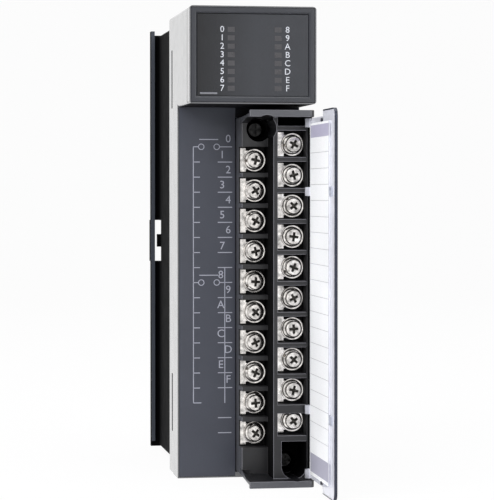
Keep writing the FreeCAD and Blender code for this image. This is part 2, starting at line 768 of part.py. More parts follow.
def head_inserts():
    """Bezel, smoked window, light guide, indicators and their board, from the front backwards."""
    rim = cell("insert_rim") + GAP / 3
    frame = rim + cell("bezel_frame")
    body = new_body("indicator_bezel")
    pad(body, "XZ_Plane", [rectangle(LEFT + rim, RIGHT - rim, HEAD_BOTTOM + rim, TOP - rim)],
        FRONT, BEZEL_REAR)
    recess = pocket(body, "XZ_Plane",
                    [rectangle(LEFT + frame, RIGHT - frame, HEAD_BOTTOM + frame, TOP - frame)],
                    FRONT - OVER, WINDOW_REAR)
    doc.recompute()
    mouth = edges_at(recess.Shape, X_AXIS, {1: FRONT, 2: TOP - frame}, {1: FRONT, 2: HEAD_BOTTOM + frame})
    mouth += edges_at(recess.Shape, Z_AXIS, {0: LEFT + frame, 1: FRONT}, {0: RIGHT - frame, 1: FRONT})
    dress(body, "Chamfer", recess, mouth, "Size", cell("bezel_bevel"))
    half = cell("aperture_width") / 2
    aperture_low = APERTURE_TOP - cell("aperture_height")
    pocket(body, "XZ_Plane", [rectangle(-half, half, aperture_low, APERTURE_TOP)],
           WINDOW_REAR - OVER, BEZEL_REAR + OVER)

    play = frame + cell("window_gap")
    body = new_body("indicator_window")
    pad(body, "XZ_Plane", [rectangle(LEFT + play, RIGHT - play, HEAD_BOTTOM + play, TOP - play)],
        WINDOW_FRONT, WINDOW_REAR)

    field_half = cell("field_width") / 2
    field_tall = cell("field_height") / 2
    first = down(cell("field_first"))
    second = FIELD_LEFT + cell("field_spacing")

    def field(column):
        return rectangle(column - field_half, column + field_half, first - field_tall, first + field_tall)

    body = new_body("light_guide")
    plate_front = GUIDE_REAR - cell("guide_plate")
    margin = cell("window_gap") * 2
    pad(body, "XZ_Plane",
        [rectangle(INNER_LEFT + GAP, INNER_RIGHT - GAP, HEAD_BOTTOM + WALL + GAP, INNER_TOP - GAP)],
        plate_front, GUIDE_REAR)
    pipes = pad(body, "XZ_Plane", [field(FIELD_LEFT), field(second)], GUIDE_FRONT, plate_front + margin)
    repeat_down(body, [pipes], cell("field_pitch"), cell("field_count"))

    body = new_body("indicator_leds")
    lamps = pad(body, "XZ_Plane", [field(FIELD_LEFT), field(second)], LED_FRONT, INDICATOR_BOARD)
    repeat_down(body, [lamps], cell("field_pitch"), cell("field_count"))

    body = new_body("indicator_board")
    edge = WALL + GAP
    pad(body, "XZ_Plane",
        [rectangle(LEFT + edge, RIGHT - edge, HEAD_BOTTOM + edge, TOP - edge)],
        INDICATOR_BOARD, INDICATOR_BOARD + cell("board_thickness"))


def label_panel():
    """Slate panel with the wiring diagram, let into the front wall beside the block."""
    rim = cell("insert_rim") + GAP / 3
    body = new_body("label_panel")
    pad(body, "XZ_Plane",
        [rectangle(LEFT + rim, BLOCK_LEFT - GAP, BOTTOM + rim, HEAD_BOTTOM)],
        LABEL_FACE, LABEL_FACE + cell("panel_thickness"))


def bar_outline(out, thick, front, knee, root, body_edge):
    """Side view of an end bar: straight at the front, sloping back to the block's end."""
    return [(front, out), (knee, out), (root, body_edge), (root, body_edge + thick),
            (knee, out + thick), (front, out + thick)]


def terminal_block_body():
    """Black two-level moulding: barrier ribs, screw recesses, flared end bars and hinge studs."""
    body = new_body("terminal_block_body")
    pad(body, "XZ_Plane", [rectangle(BLOCK_LEFT, BLOCK_RIGHT, BLOCK_BOTTOM, BLOCK_TOP)],
        LEVEL_ONE, BLOCK_REAR)
    pad(body, "XZ_Plane", [rectangle(DIVIDER_LEFT, BLOCK_RIGHT, BLOCK_BOTTOM, BLOCK_TOP)],
        LEVEL_TWO, LEVEL_ONE)
    # end bars: a lip across the front on an arm that slopes back to the block's end, and on a thin
    # web at its left tip
    bar_split = BLOCK_LEFT + cell("tip_width")
    bar_right = RIGHT - cell("bar_side_gap")
    front = behind(cell("bar_front"))
    lip = front + cell("lip_depth")
    root = behind(cell("tip_root"))
    for out, side, edge in ((BAR_TOP_OUT, -1, BLOCK_TOP), (BAR_LOW_OUT, 1, BLOCK_BOTTOM)):
        thick = cell("bar_thickness") * side
        web = cell("tip_web") * side
        tip = [(front, out), (lip, out), (lip, out + thick - web), (root, edge), (root, edge + thick),
               (behind(cell("tip_knee")), out + thick), (front, out + thick)]
        main = bar_outline(out, thick, front, behind(cell("bar_knee")), behind(cell("bar_root")), edge)
        pad(body, "YZ_Plane", [tip], BAR_LEFT, bar_split)
        pad(body, "YZ_Plane", [main], bar_split, bar_right)
    # cavities between the barrier ribs: the lower level is open at its side, the upper one is walled
    cavity = PITCH - cell("terminal_rib")
    left_first = down(cell("left_first"))
    right_first = down(cell("right_first"))
    left_cavity = pocket(body, "XZ_Plane",
                         [rectangle(BLOCK_LEFT - OVER, DIVIDER_LEFT, left_first - cavity / 2,
                                    left_first + cavity / 2)],
                         LEVEL_ONE - OVER, SEAT_ONE)
    repeat_down(body, [left_cavity], PITCH, ROWS)
    right_wall = BLOCK_RIGHT - cell("side_wall")
    right_cavity = pocket(body, "XZ_Plane",
                          [rectangle(DIVIDER_RIGHT, right_wall, right_first - cavity / 2,
                                     right_first + cavity / 2)],
                          LEVEL_TWO - OVER / 8, SEAT_TWO)
    repeat_down(body, [right_cavity], PITCH, ROWS)
    pocket(body, "XZ_Plane",
           [rectangle(DIVIDER_RIGHT, right_wall, down(cell("top_rib_drop")), BLOCK_TOP)],
           LEVEL_TWO - OVER / 8, SEAT_TWO)
    # hood over the last terminal of the right column
    last_top = right_first - PITCH * (ROWS - 1) + cavity / 2
    hood = [(LEVEL_TWO, last_top + cell("terminal_rib") / 2), (LEVEL_TWO, last_top - cell("hood_drop")),
            (LEVEL_TWO + cell("hood_reach"), last_top), (LEVEL_TWO + cell("hood_reach"),
                                                          last_top + cell("terminal_rib") / 2)]
    pad(body, "YZ_Plane", [hood], DIVIDER_RIGHT - cell("divider_width") / 2, BLOCK_RIGHT)
    # square wells that clear the ends of the terminal screws
    well = cell("screw_well") / 2
    for column, first, seat in ((COLUMN_ONE, left_first, SEAT_ONE), (COLUMN_TWO, right_first, SEAT_TWO)):
        hollow = pocket(body, "XZ_Plane",
                        [rectangle(column - well, column + well, first - well, first + well)],
                        seat - OVER / 2, seat + cell("screw_length"))
        repeat_down(body, [hollow], PITCH, ROWS)
    # round access hole at the top left and U-shaped recess at the lower right, each with a
    # narrower counterbore down to the screw's seat
    seat = behind(cell("captive_seat"))
    access = behind(cell("access_depth"))
    radius = cell("access_radius")
    narrow = cell("counterbore_radius")
    pocket(body, "XZ_Plane", [(UPPER_SCREW, radius), (LOWER_SCREW, radius)], FRONT, access)
    pocket(body, "XZ_Plane",
           [rectangle(LOWER_SCREW[0] - radius, LOWER_SCREW[0] + radius, LOWER_SCREW[1],
                      BOTTOM + cell("recess_rise"))],
           LEVEL_TWO - OVER, access)
    pocket(body, "XZ_Plane", [(UPPER_SCREW, narrow), (LOWER_SCREW, narrow)], access - OVER, seat)
    shank = cell("captive_radius") + cell("captive_clearance")
    pocket(body, "XZ_Plane", [(UPPER_SCREW, shank), (LOWER_SCREW, shank)], seat - OVER, BLOCK_REAR + OVER)
    clip = cell("clip_radius") + GAP
    pocket(body, "XZ_Plane", [(UPPER_SCREW, clip), (LOWER_SCREW, clip)],
           BLOCK_REAR - cell("clip_pocket"), BLOCK_REAR + OVER)
    # slots that hold the roots of the plug contacts
    thin = cell("contact_thickness") / 2
    tall = cell("contact_height") / 2
    root = BLOCK_REAR - cell("contact_root")
    slots = pocket(body, "XZ_Plane",
                   [rectangle(centre - thin, centre + thin, CONTACT_FIRST - tall, CONTACT_FIRST + tall)
                    for centre in CONTACT_COLUMNS],
                   root, BLOCK_REAR + OVER)
    repeat_down(body, [slots], CONTACT_PITCH, ROWS)
    # studs on the end bars that carry the cover
    stud = ((HINGE_X, HINGE_Y), cell("pivot_radius"))
    pad(body, "XY_Plane", [stud], BAR_TOP_IN - cell("pivot_length"), BAR_TOP_IN)
    last = pad(body, "XY_Plane", [stud], BAR_LOW_IN, BAR_LOW_IN + cell("pivot_length"))
    doc.recompute()
    tips = edges_at(last.Shape, Z_AXIS, {0: bar_right, 1: front})
    dress(body, "Fillet", last, tips, "Radius", cell("bar_round"))


def terminal_plates(side, column, first, seat, low):
    """Ten nickel plates of one level: a contact strip, and a tongue with the hole for its screw."""
    body = new_body(f"terminal_plates_{side}")
    tall = cell("plate_height") / 2
    root = column - cell("tongue_root")
    half = cell("tongue_height") / 2
    end = column + cell("tongue_reach")
    corner = cell("tongue_corner")
    outline = [(low, first - tall), (root, first - tall), (root, first - half),
               (end - corner, first - half), (end, first - half + corner),
               (end, first + half - corner), (end - corner, first + half),
               (root, first + half), (root, first + tall), (low, first + tall)]
    hole = polygon((column, first), cell("screw_radius") + cell("screw_clearance"), "screw_shank_sides")
    plate = pad(body, "XZ_Plane", [outline, hole], seat - cell("plate_thickness"), seat)
    repeat_down(body, [plate], PITCH, ROWS)


def clamp_washers(side, column, first, seat):
    """Ten clamping washers of one level, each under the head of its screw."""
    body = new_body(f"clamp_washers_{side}")
    middle = (column, first)
    rear = seat - cell("plate_thickness")
    ring = pad(body, "XZ_Plane",
               [polygon(middle, cell("washer_radius"), "screw_head_sides"),
                polygon(middle, cell("screw_radius") + cell("screw_clearance"), "screw_shank_sides")],
               rear - cell("washer_thickness"), rear)
    repeat_down(body, [ring], PITCH, ROWS)


def terminal_screws(side, column, first, seat):
    """Ten screws of one level, many-sided so that their repeats stay light, drawn about their axis."""
    body = new_body(f"terminal_screws_{side}")
    axis = as_size(0)
    middle = (axis, axis)
    head = pad(body, "XZ_Plane", [polygon(middle, cell("screw_head_radius"), "screw_head_sides")],
               -cell("screw_head_height"), axis)
    shank = pad(body, "XZ_Plane", [polygon(middle, cell("screw_radius"), "screw_shank_sides")],
                axis, cell("screw_length"))
    repeat_down(body, [head, shank], PITCH, ROWS)
    stack = cell("plate_thickness") + cell("washer_thickness")
    place(body, column, seat - stack, first)


def terminals():
    """Plates, washers and screws of both levels."""
    left_first = down(cell("left_first"))
    right_first = down(cell("right_first"))
    margin = cell("plate_margin")
    for side, column, first, seat, wall in (("left", COLUMN_ONE, left_first, SEAT_ONE, BLOCK_LEFT),
                                            ("right", COLUMN_TWO, right_first, SEAT_TWO, DIVIDER_RIGHT)):
        terminal_plates(side, column, first, seat, wall + margin)
        clamp_washers(side, column, first, seat)
        terminal_screws(side, column, first, seat)


def cross_slot():
    """Outline of the crossed slots in a screw head, centred on the screw."""
    wide = cell("screw_slot_width") / 2
    long = cell("screw_slot_length") / 2
    return [(-long, -wide), (-wide, -wide), (-wide, -long), (wide, -long), (wide, -wide), (long, -wide),
            (long, wide), (wide, wide), (wide, long), (-wide, long), (-wide, wide), (-long, wide)]


def captive_screw(name, centre):
    """Long cheese head screw that holds the block and stays in it."""
    body = new_body(f"{name}_block_screw")
    head = cell("captive_head_radius")
    tall = cell("captive_head_height")
    shank = cell("captive_radius")
    axis = as_size(0)
    bevel = cell("captive_head_bevel")
    revolve(body, [(axis, -tall), (head - bevel, -tall), (head, bevel - tall), (head, axis),
                   (shank, axis), (shank, cell("captive_length")), (axis, cell("captive_length"))])
    pocket(body, "XZ_Plane", [cross_slot()], -tall - OVER, cell("screw_slot_sink") - tall)
    seat = behind(cell("captive_seat")) - GAP / 3
    place(body, centre[0], seat, centre[1])

    body = new_body(f"{name}_screw_clip")
    inner = shank + cell("screw_clearance") / 2
    ring = cell("clip_radius")
    thick = cell("clip_thickness")
    revolve(body, [(inner, axis), (ring, axis), (ring, thick), (inner, thick)])
    place(body, centre[0], BLOCK_REAR - cell("clip_pocket") + GAP, centre[1])


def insert_nuts():
    """Two hexagonal brass nuts pressed into the front case's bosses."""
    body = new_body("insert_nuts")
    bore = cell("captive_radius") + cell("screw_clearance")
    rear = RECESS_FLOOR + cell("nut_length")
    radius = cell("nut_radius")
    pad(body, "XZ_Plane",
        [polygon(UPPER_SCREW, radius, "nut_sides"), (UPPER_SCREW, bore),
         polygon(LOWER_SCREW, radius, "nut_sides"), (LOWER_SCREW, bore)],
        RECESS_FLOOR, rear)


def plug_in_connection():
    """Blades at the back of the block and the slotted socket that takes them."""
    thin = cell("contact_thickness") / 2
    tall = cell("contact_height") / 2
    body = new_body("plug_contacts")
    root = BLOCK_REAR - cell("contact_root")
    blades = [rectangle(centre - thin, centre + thin, CONTACT_FIRST - tall, CONTACT_FIRST + tall)
              for centre in CONTACT_COLUMNS]
    pair = pad(body, "XZ_Plane", blades, root, BLOCK_REAR + cell("contact_reach"))
    repeat_down(body, [pair], CONTACT_PITCH, ROWS)

    body = new_body("block_socket")
    pad(body, "XZ_Plane", [rectangle(SOCKET_LEFT, SOCKET_RIGHT, SOCKET_BOTTOM, SOCKET_TOP)],
        SOCKET_FRONT, SOCKET_REAR)
    play = cell("contact_clearance")
    wide = thin + play
    high = tall + play
    slots = [rectangle(centre - wide, centre + wide, CONTACT_FIRST - high, CONTACT_FIRST + high)
             for centre in CONTACT_COLUMNS]
    pair = pocket(body, "XZ_Plane", slots, SOCKET_FRONT - OVER, SOCKET_FRONT + cell("contact_reach") + GAP)
    repeat_down(body, [pair], CONTACT_PITCH, ROWS)


def boards():
    """Main board, terminal board and what is soldered to them."""
    body = new_body("main_board")
    edge = TONGUE_INNER + GAP
    front_edge = TONGUE_FRONT + GAP
    rear_edge = behind(cell("main_board_rear"))
    notch_edge = LUG_FRONT - cell("rear_wall") - GAP
    notch_floor = LUG_FLOOR - cell("rear_wall") - GAP
    outline = [(front_edge, BOTTOM + edge), (rear_edge, BOTTOM + edge), (rear_edge, notch_floor),
               (notch_edge, notch_floor), (notch_edge, TOP - edge), (front_edge, TOP - edge)]
    pad(body, "YZ_Plane", [outline], MAIN_LEFT, MAIN_RIGHT)

    body = new_body("terminal_board")
    board_rear = SOCKET_REAR + cell("board_thickness")
    board_left = MAIN_RIGHT + GAP
    margin = cell("main_board_margin")
    pad(body, "XZ_Plane",
        [rectangle(board_left, SOCKET_RIGHT + cell("terminal_board_side"), BOTTOM + margin,
                   SOCKET_TOP + GAP)],
        SOCKET_REAR, board_rear)

    body = new_body("board_link")
    link_half = cell("link_height") / 2
    pad(body, "XZ_Plane",
        [rectangle(MAIN_RIGHT, MAIN_RIGHT + cell("link_width"), -link_half, link_half)],
        board_rear, board_rear + cell("link_width"))

    body = new_body("input_couplers")
    front = behind(cell("coupler_depth"))
    spacing = cell("coupler_spacing")
    first = cell("coupler_pitch") * (cell("field_count") - 1) / 2
    tall = cell("coupler_height") / 2
    rise = cell("coupler_rise")
    pair = [rectangle(front, front + cell("coupler_length"), first - tall, first + tall),
            rectangle(front + spacing, front + spacing + cell("coupler_length"), first - tall,
                      first + tall)]
    couplers = pad(body, "YZ_Plane", pair, MAIN_RIGHT, MAIN_RIGHT + rise)
    repeat_down(body, [couplers], cell("coupler_pitch"), cell("field_count"))

    body = new_body("input_resistors")
    tall = cell("resistor_height") / 2
    pair = [rectangle(front, front + cell("resistor_length"), first - tall, first + tall),
            rectangle(front + spacing, front + spacing + cell("resistor_length"), first - tall,
                      first + tall)]
    resistors = pad(body, "YZ_Plane", pair, MAIN_LEFT - cell("resistor_rise"), MAIN_LEFT)
    repeat_down(body, [resistors], cell("coupler_pitch"), cell("field_count"))

    body = new_body("interface_chips")
    chip_front = behind(cell("chip_depth"))
    first = cell("chip_pitch") * (cell("chip_count") - 1) / 2
    tall = cell("chip_height") / 2
    chip = pad(body, "YZ_Plane",
               [rectangle(chip_front, chip_front + cell("chip_length"), first - tall, first + tall)],
               MAIN_LEFT - cell("chip_rise"), MAIN_LEFT)
    repeat_down(body, [chip], cell("chip_pitch"), cell("chip_count"))


def backplane():
    """Shrouded connector that passes through the rear plate, and its pins."""
    body = new_body("backplane_connector")
    front = behind(cell("backplane_front"))
    rear = cell("backplane_reach")
    wall = cell("backplane_wall")
    pad(body, "XZ_Plane",
        [rectangle(BACKPLANE_LEFT, BACKPLANE_RIGHT, -BACKPLANE_HALF, BACKPLANE_HALF)], front, rear)
    sink = rear - cell("backplane_sink")
    pocket(body, "XZ_Plane",
           [rectangle(BACKPLANE_LEFT + wall, BACKPLANE_RIGHT - wall, wall - BACKPLANE_HALF,
                      BACKPLANE_HALF - wall)],
           sink, rear + OVER)
    side = cell("pin_side") / 2
    middle = (BACKPLANE_LEFT + BACKPLANE_RIGHT) / 2
    first = cell("pin_pitch") * (cell("pin_rows") - 1) / 2
    half = cell("pin_spacing") / 2
    pins = [rectangle(middle - half - side, middle - half + side, first - side, first + side),
            rectangle(middle + half - side, middle + half + side, first - side, first + side)]
    body = new_body("connector_pins")
    pair = pad(body, "XZ_Plane", pins, sink, sink + cell("pin_length"))
    repeat_down(body, [pair], cell("pin_pitch"), cell("pin_rows"))


def cover():
    """Smoke-clear cover standing straight out from its hinge, and the card inside it."""
    body = new_body("terminal_cover")
    outer = HINGE_X + cell("knuckle_radius")
    inner = outer - cell("cover_thickness")
    gap = cell("cover_gap")
    root_top = BAR_TOP_IN - gap
    root_bottom = BAR_LOW_IN + gap
    ear_top = down(cell("ear_top"))
    ear_bottom = BOTTOM + cell("ear_rise")
    ear = HINGE_Y - (HINGE_X - BAR_LEFT + cell("ear_clearance"))
    free = HINGE_Y - (cell("width") - cell("cover_side_gap"))
    outline = [(HINGE_Y, root_bottom), (HINGE_Y, root_top), (ear, root_top), (ear, ear_top),
               (free, ear_top), (free, ear_bottom), (ear, ear_bottom), (ear, root_bottom)]
    plate = pad(body, "YZ_Plane", [outline], inner, outer)
    doc.recompute()
    corners = edges_at(plate.Shape, X_AXIS, {1: free, 2: ear_top}, {1: free, 2: ear_bottom})
    dress(body, "Fillet", plate, corners, "Radius", cell("cover_round"))
    # loops on the studs at both ends, and two more knuckles between them
    knuckle = ((HINGE_X, HINGE_Y), cell("knuckle_radius"))
    tall = cell("knuckle_height")
    bore = ((HINGE_X, HINGE_Y), cell("pivot_radius") + cell("pivot_clearance"))
    pad(body, "XY_Plane", [knuckle], root_top - tall, root_top)
    pad(body, "XY_Plane", [knuckle], root_bottom, root_bottom + tall)
    for middle in (down(cell("tab_upper")), BOTTOM + cell("tab_rise")):
        pad(body, "XY_Plane", [knuckle], middle - tall / 2, middle + tall / 2)
    pocket(body, "XY_Plane", [bore], root_top - tall - OVER, root_top + OVER)
    pocket(body, "XY_Plane", [bore], root_bottom - OVER, root_bottom + tall + OVER)
    # rails beside the card, and the pips that click over the end bars
    rise = cell("rail_rise")
    rail = cell("rail_width")
    card_near = HINGE_Y - cell("card_start")
    card_far = card_near - cell("card_width")
    card_top = down(cell("card_top"))
    card_bottom = BOTTOM + cell("card_rise")
    play = cell("window_gap")
    pad(body, "YZ_Plane",
        [rectangle(card_far - play - rail, card_far - play, card_bottom, card_top)],
        inner - rise, inner)
    pip = cell("pip_radius")
    reach = HINGE_Y - cell("pip_reach")
    pocket(body, "YZ_Plane",
           [((reach, root_top - cell("pip_drop")), pip), ((reach, root_bottom + cell("pip_drop")), pip)],
           inner - OVER, outer + OVER)

    body = new_body("label_sheet")
    pad(body, "YZ_Plane", [rectangle(card_far, card_near, card_bottom, card_top)],
        inner - cell("card_thickness"), inner)


def build():
    """Make every piece, check it and write its file."""
    front_case()
    rear_case()
    head_inserts()
    label_panel()
    terminal_block_body()
    terminals()
    captive_screw("upper", UPPER_SCREW)
    captive_screw("lower", LOWER_SCREW)
    insert_nuts()
    plug_in_connection()
    boards()
    backplane()
    cover()
    doc.recompute()
    for thing in doc.Objects:
        if "Invalid" in thing.State or "Error" in thing.State:
            raise RuntimeError(f"{thing.Name} failed: {thing.State}")
    os.makedirs("parts", exist_ok=True)
    for piece in SUB_PARTS:
        if piece.Shape.isNull() or not piece.Shape.isValid():
            raise RuntimeError(f"{piece.Label} has no valid shape")
        piece.Shape.exportStep(f"parts/{piece.Label}.step")
        print(piece.Label, len(piece.Shape.Solids), round(piece.Shape.Volume, 1))


build()
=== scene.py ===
import json
import math

import bpy
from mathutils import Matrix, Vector

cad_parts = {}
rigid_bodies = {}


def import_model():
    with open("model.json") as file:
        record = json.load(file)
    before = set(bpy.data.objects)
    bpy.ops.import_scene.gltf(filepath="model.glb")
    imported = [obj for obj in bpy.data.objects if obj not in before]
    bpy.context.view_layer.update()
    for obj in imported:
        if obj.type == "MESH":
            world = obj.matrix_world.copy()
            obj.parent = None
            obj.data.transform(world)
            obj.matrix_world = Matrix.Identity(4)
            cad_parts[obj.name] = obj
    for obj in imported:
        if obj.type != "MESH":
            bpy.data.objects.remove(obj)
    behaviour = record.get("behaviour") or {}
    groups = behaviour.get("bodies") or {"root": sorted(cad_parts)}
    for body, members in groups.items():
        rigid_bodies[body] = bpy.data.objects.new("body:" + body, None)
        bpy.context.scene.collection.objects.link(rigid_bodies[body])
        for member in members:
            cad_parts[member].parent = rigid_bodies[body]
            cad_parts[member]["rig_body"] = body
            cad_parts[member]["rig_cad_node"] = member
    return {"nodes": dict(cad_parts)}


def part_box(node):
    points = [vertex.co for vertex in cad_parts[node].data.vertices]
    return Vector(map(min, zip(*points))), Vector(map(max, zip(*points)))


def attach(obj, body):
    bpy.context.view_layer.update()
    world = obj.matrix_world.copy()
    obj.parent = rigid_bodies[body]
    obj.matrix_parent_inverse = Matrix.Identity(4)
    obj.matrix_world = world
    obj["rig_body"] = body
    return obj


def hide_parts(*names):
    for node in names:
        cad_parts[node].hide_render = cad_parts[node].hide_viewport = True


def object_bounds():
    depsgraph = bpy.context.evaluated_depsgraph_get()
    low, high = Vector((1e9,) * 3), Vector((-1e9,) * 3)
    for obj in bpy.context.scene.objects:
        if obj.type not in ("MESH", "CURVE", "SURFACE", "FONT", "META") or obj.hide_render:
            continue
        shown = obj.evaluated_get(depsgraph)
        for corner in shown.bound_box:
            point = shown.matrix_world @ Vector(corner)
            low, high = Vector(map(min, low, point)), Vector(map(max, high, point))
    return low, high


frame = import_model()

cad_box = [list(corner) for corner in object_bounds()]


# Front case: one grey plastic moulding with the indicator head and the recessed front wall.
# Its outer edges are slightly rounded, as a mould leaves them, and the two faces that the head and
# the block shelter are painted dull and dark as shade.
MM = 0.001


def shade(red, green, blue):
    """A colour as it looks, 0 to 255, turned into the linear values that shaders take."""
    parts = []
    for part in (red, green, blue):
        part = part / 255
        parts.append(part / 12.92 if part <= 0.04045 else ((part + 0.055) / 1.055) ** 2.4)
    return (*parts, 1.0)


def open_group(name, inputs, outputs):
    """A node group with its sockets; inputs are (name, kind, value) and outputs (name, kind)."""
    group = bpy.data.node_groups.new(name, "ShaderNodeTree")
    for label, kind, value in inputs:
        socket = group.interface.new_socket(name=label, in_out="INPUT", socket_type=kind)
        socket.default_value = value
    for label, kind in outputs:
        group.interface.new_socket(name=label, in_out="OUTPUT", socket_type=kind)
    return group, group.nodes.new("NodeGroupInput"), group.nodes.new("NodeGroupOutput")


def noise_node(tree, scale, detail, source):
    """A noise texture on the piece's own coordinates."""
    noise = tree.nodes.new("ShaderNodeTexNoise")
    noise.inputs["Scale"].default_value = scale
    noise.inputs["Detail"].default_value = detail
    tree.links.new(source.outputs["Object"], noise.inputs["Vector"])
    return noise


def spread(tree, source, low, high):
    """The middle of a 0-1 pattern stretched to run from low to high."""
    change = tree.nodes.new("ShaderNodeMapRange")
    change.inputs["From Min"].default_value = 0.3
    change.inputs["From Max"].default_value = 0.7
    change.inputs["To Min"].default_value = low
    change.inputs["To Max"].default_value = high
    tree.links.new(source, change.inputs["Value"])
    return change.outputs["Result"]


def maths(tree, operation, first, second=None):
    """A Math node on sockets or plain numbers."""
    node = tree.nodes.new("ShaderNodeMath")
    node.operation = operation
    for socket, value in zip(node.inputs, (first, second)):
        if value is None:
            continue
        if isinstance(value, (int, float)):
            socket.default_value = value
        else:
            tree.links.new(value, socket)
    return node.outputs[0]


def tinted(tree, colour, change):
    """The colour made lighter or darker by a factor near 1."""
    node = tree.nodes.new("ShaderNodeVectorMath")
    node.operation = "SCALE"
    tree.links.new(colour, node.inputs[0])
    tree.links.new(change, node.inputs["Scale"])
    return node.outputs[0]


# a moulded plastic skin: fine grain, slow changes of tone and faint rubbed patches
skin, skin_in, skin_out = open_group(
    "moulded_skin",
    [("Colour", "NodeSocketColor", (0.1, 0.1, 0.1, 1)), ("Roughness", "NodeSocketFloat", 0.5),
     ("Grain", "NodeSocketFloat", 5000.0), ("Depth", "NodeSocketFloat", 0.25)],
    [("Colour", "NodeSocketColor"), ("Roughness", "NodeSocketFloat"), ("Normal", "NodeSocketVector")])
place_on = skin.nodes.new("ShaderNodeTexCoord")
tone = noise_node(skin, 45.0, 3.0, place_on)
rub = noise_node(skin, 260.0, 5.0, place_on)
grain = noise_node(skin, 5000.0, 2.0, place_on)
skin.links.new(skin_in.outputs["Grain"], grain.inputs["Scale"])
change = maths(skin, "MULTIPLY", spread(skin, tone.outputs[0], 0.94, 1.06),
               spread(skin, grain.outputs[0], 0.95, 1.05))
skin.links.new(tinted(skin, skin_in.outputs["Colour"], change), skin_out.inputs["Colour"])
polish = maths(skin, "ADD", skin_in.outputs["Roughness"], spread(skin, rub.outputs[0], -0.05, 0.05))
skin.links.new(polish, skin_out.inputs["Roughness"])
bump = skin.nodes.new("ShaderNodeBump")
bump.inputs["Distance"].default_value = 0.02 * MM
skin.links.new(skin_in.outputs["Depth"], bump.inputs["Strength"])
skin.links.new(grain.outputs[0], bump.inputs["Height"])
skin.links.new(bump.outputs["Normal"], skin_out.inputs["Normal"])


def blank_material(name):
    """A material with its node tree and its main shader."""
    material = bpy.data.materials.new(name)
    material.use_nodes = True
    return material, material.node_tree, material.node_tree.nodes["Principled BSDF"]


def surfaced(name, group, **values):
    """A material whose colour, roughness and grain come from a group with these values."""
    material, tree, shader = blank_material(name)
    surface = tree.nodes.new("ShaderNodeGroup")
    surface.node_tree = group
    for label, value in values.items():
        surface.inputs[label].default_value = value
    tree.links.new(surface.outputs["Colour"], shader.inputs["Base Color"])
    tree.links.new(surface.outputs["Roughness"], shader.inputs["Roughness"])
    tree.links.new(surface.outputs["Normal"], shader.inputs["Normal"])
    return material, shader


def moulded(name, colour, roughness, grain_scale=5000.0, depth=0.25, gloss=0.5, polish=0.0):
    """A plastic with the moulded skin; polish adds a clear glossy surface over it."""
    material, shader = surfaced(name, skin, Colour=colour, Roughness=roughness, Grain=grain_scale,
                                Depth=depth)
    shader.inputs["Specular IOR Level"].default_value = gloss
    shader.inputs["Coat Weight"].default_value = polish
    shader.inputs["Coat Roughness"].default_value = roughness
    shader.inputs["Coat IOR"].default_value = 1.9
    return material


def wear(piece, material):
    """Puts one material all over a piece."""
    piece.data.materials.clear()
    piece.data.materials.append(material)


def select_only(*pieces):
    """Selects these pieces and nothing else, the first one active."""
    bpy.ops.object.select_all(action="DESELECT")
    for piece in pieces:
        piece.select_set(True)
    bpy.context.view_layer.objects.active = pieces[0]


def rounded_copy(node, name, radius, clamp=True):
    """The node's own shape as a new piece, with its sharp edges rounded."""
    corner = math.radians(30.0)
    piece = frame["nodes"][node].copy()
    piece.data = piece.data.copy()
    piece.name = name
    piece.parent = None
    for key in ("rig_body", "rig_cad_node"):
        del piece[key]
    bpy.context.scene.collection.objects.link(piece)
    select_only(piece)
    bpy.ops.mesh.customdata_custom_splitnormals_clear()
    bpy.ops.object.mode_set(mode="EDIT")
    bpy.ops.mesh.select_all(action="SELECT")
    bpy.ops.mesh.remove_doubles(threshold=0.002 * MM)
    bpy.ops.mesh.dissolve_limited(angle_limit=math.radians(1.0))
    bpy.ops.object.mode_set(mode="OBJECT")
    edge = piece.modifiers.new("edge", "BEVEL")
    edge.width = radius
    edge.segments = 2
    edge.use_clamp_overlap = clamp
    edge.limit_method = "ANGLE"
    edge.angle_limit = corner
    bpy.ops.object.modifier_apply(modifier="edge")
    bpy.ops.object.shade_smooth_by_angle(angle=corner)
    level = piece.modifiers.new("level", "WEIGHTED_NORMAL")
    level.keep_sharp = True
    bpy.ops.object.modifier_apply(modifier="level")
    return piece


def pick_faces(piece, test):
    """Leaves edit mode off with only the faces selected whose middle and normal pass a test."""
    bpy.ops.object.mode_set(mode="EDIT")
    bpy.ops.mesh.select_mode(type="FACE")
    bpy.ops.mesh.select_all(action="DESELECT")
    bpy.ops.object.mode_set(mode="OBJECT")
    for face in piece.data.polygons:
        face.select = test(face.center, face.normal)


def finish_edges(piece, width, segments=2):
    """Rounds the sharp edges of a new piece and smooths it."""
    corner = math.radians(35.0)
    select_only(piece)
    edge = piece.modifiers.new("edge", "BEVEL")
    edge.width = width
    edge.segments = segments
    edge.limit_method = "ANGLE"
    edge.angle_limit = corner
    bpy.ops.object.modifier_apply(modifier="edge")
    bpy.ops.object.shade_smooth_by_angle(angle=corner)


def slab(name, place, size, turn=0.0):
    """A straight-sided block by its middle and its three sizes, turned about its upright axis."""
    bpy.ops.object.select_all(action="DESELECT")
    bpy.ops.mesh.primitive_cube_add(size=1, location=place)
    piece = bpy.context.object
    piece.name = name
    piece.scale = size
    piece.rotation_euler = (0, 0, turn)
    bpy.ops.object.transform_apply(location=True, rotation=True, scale=True)
    return piece


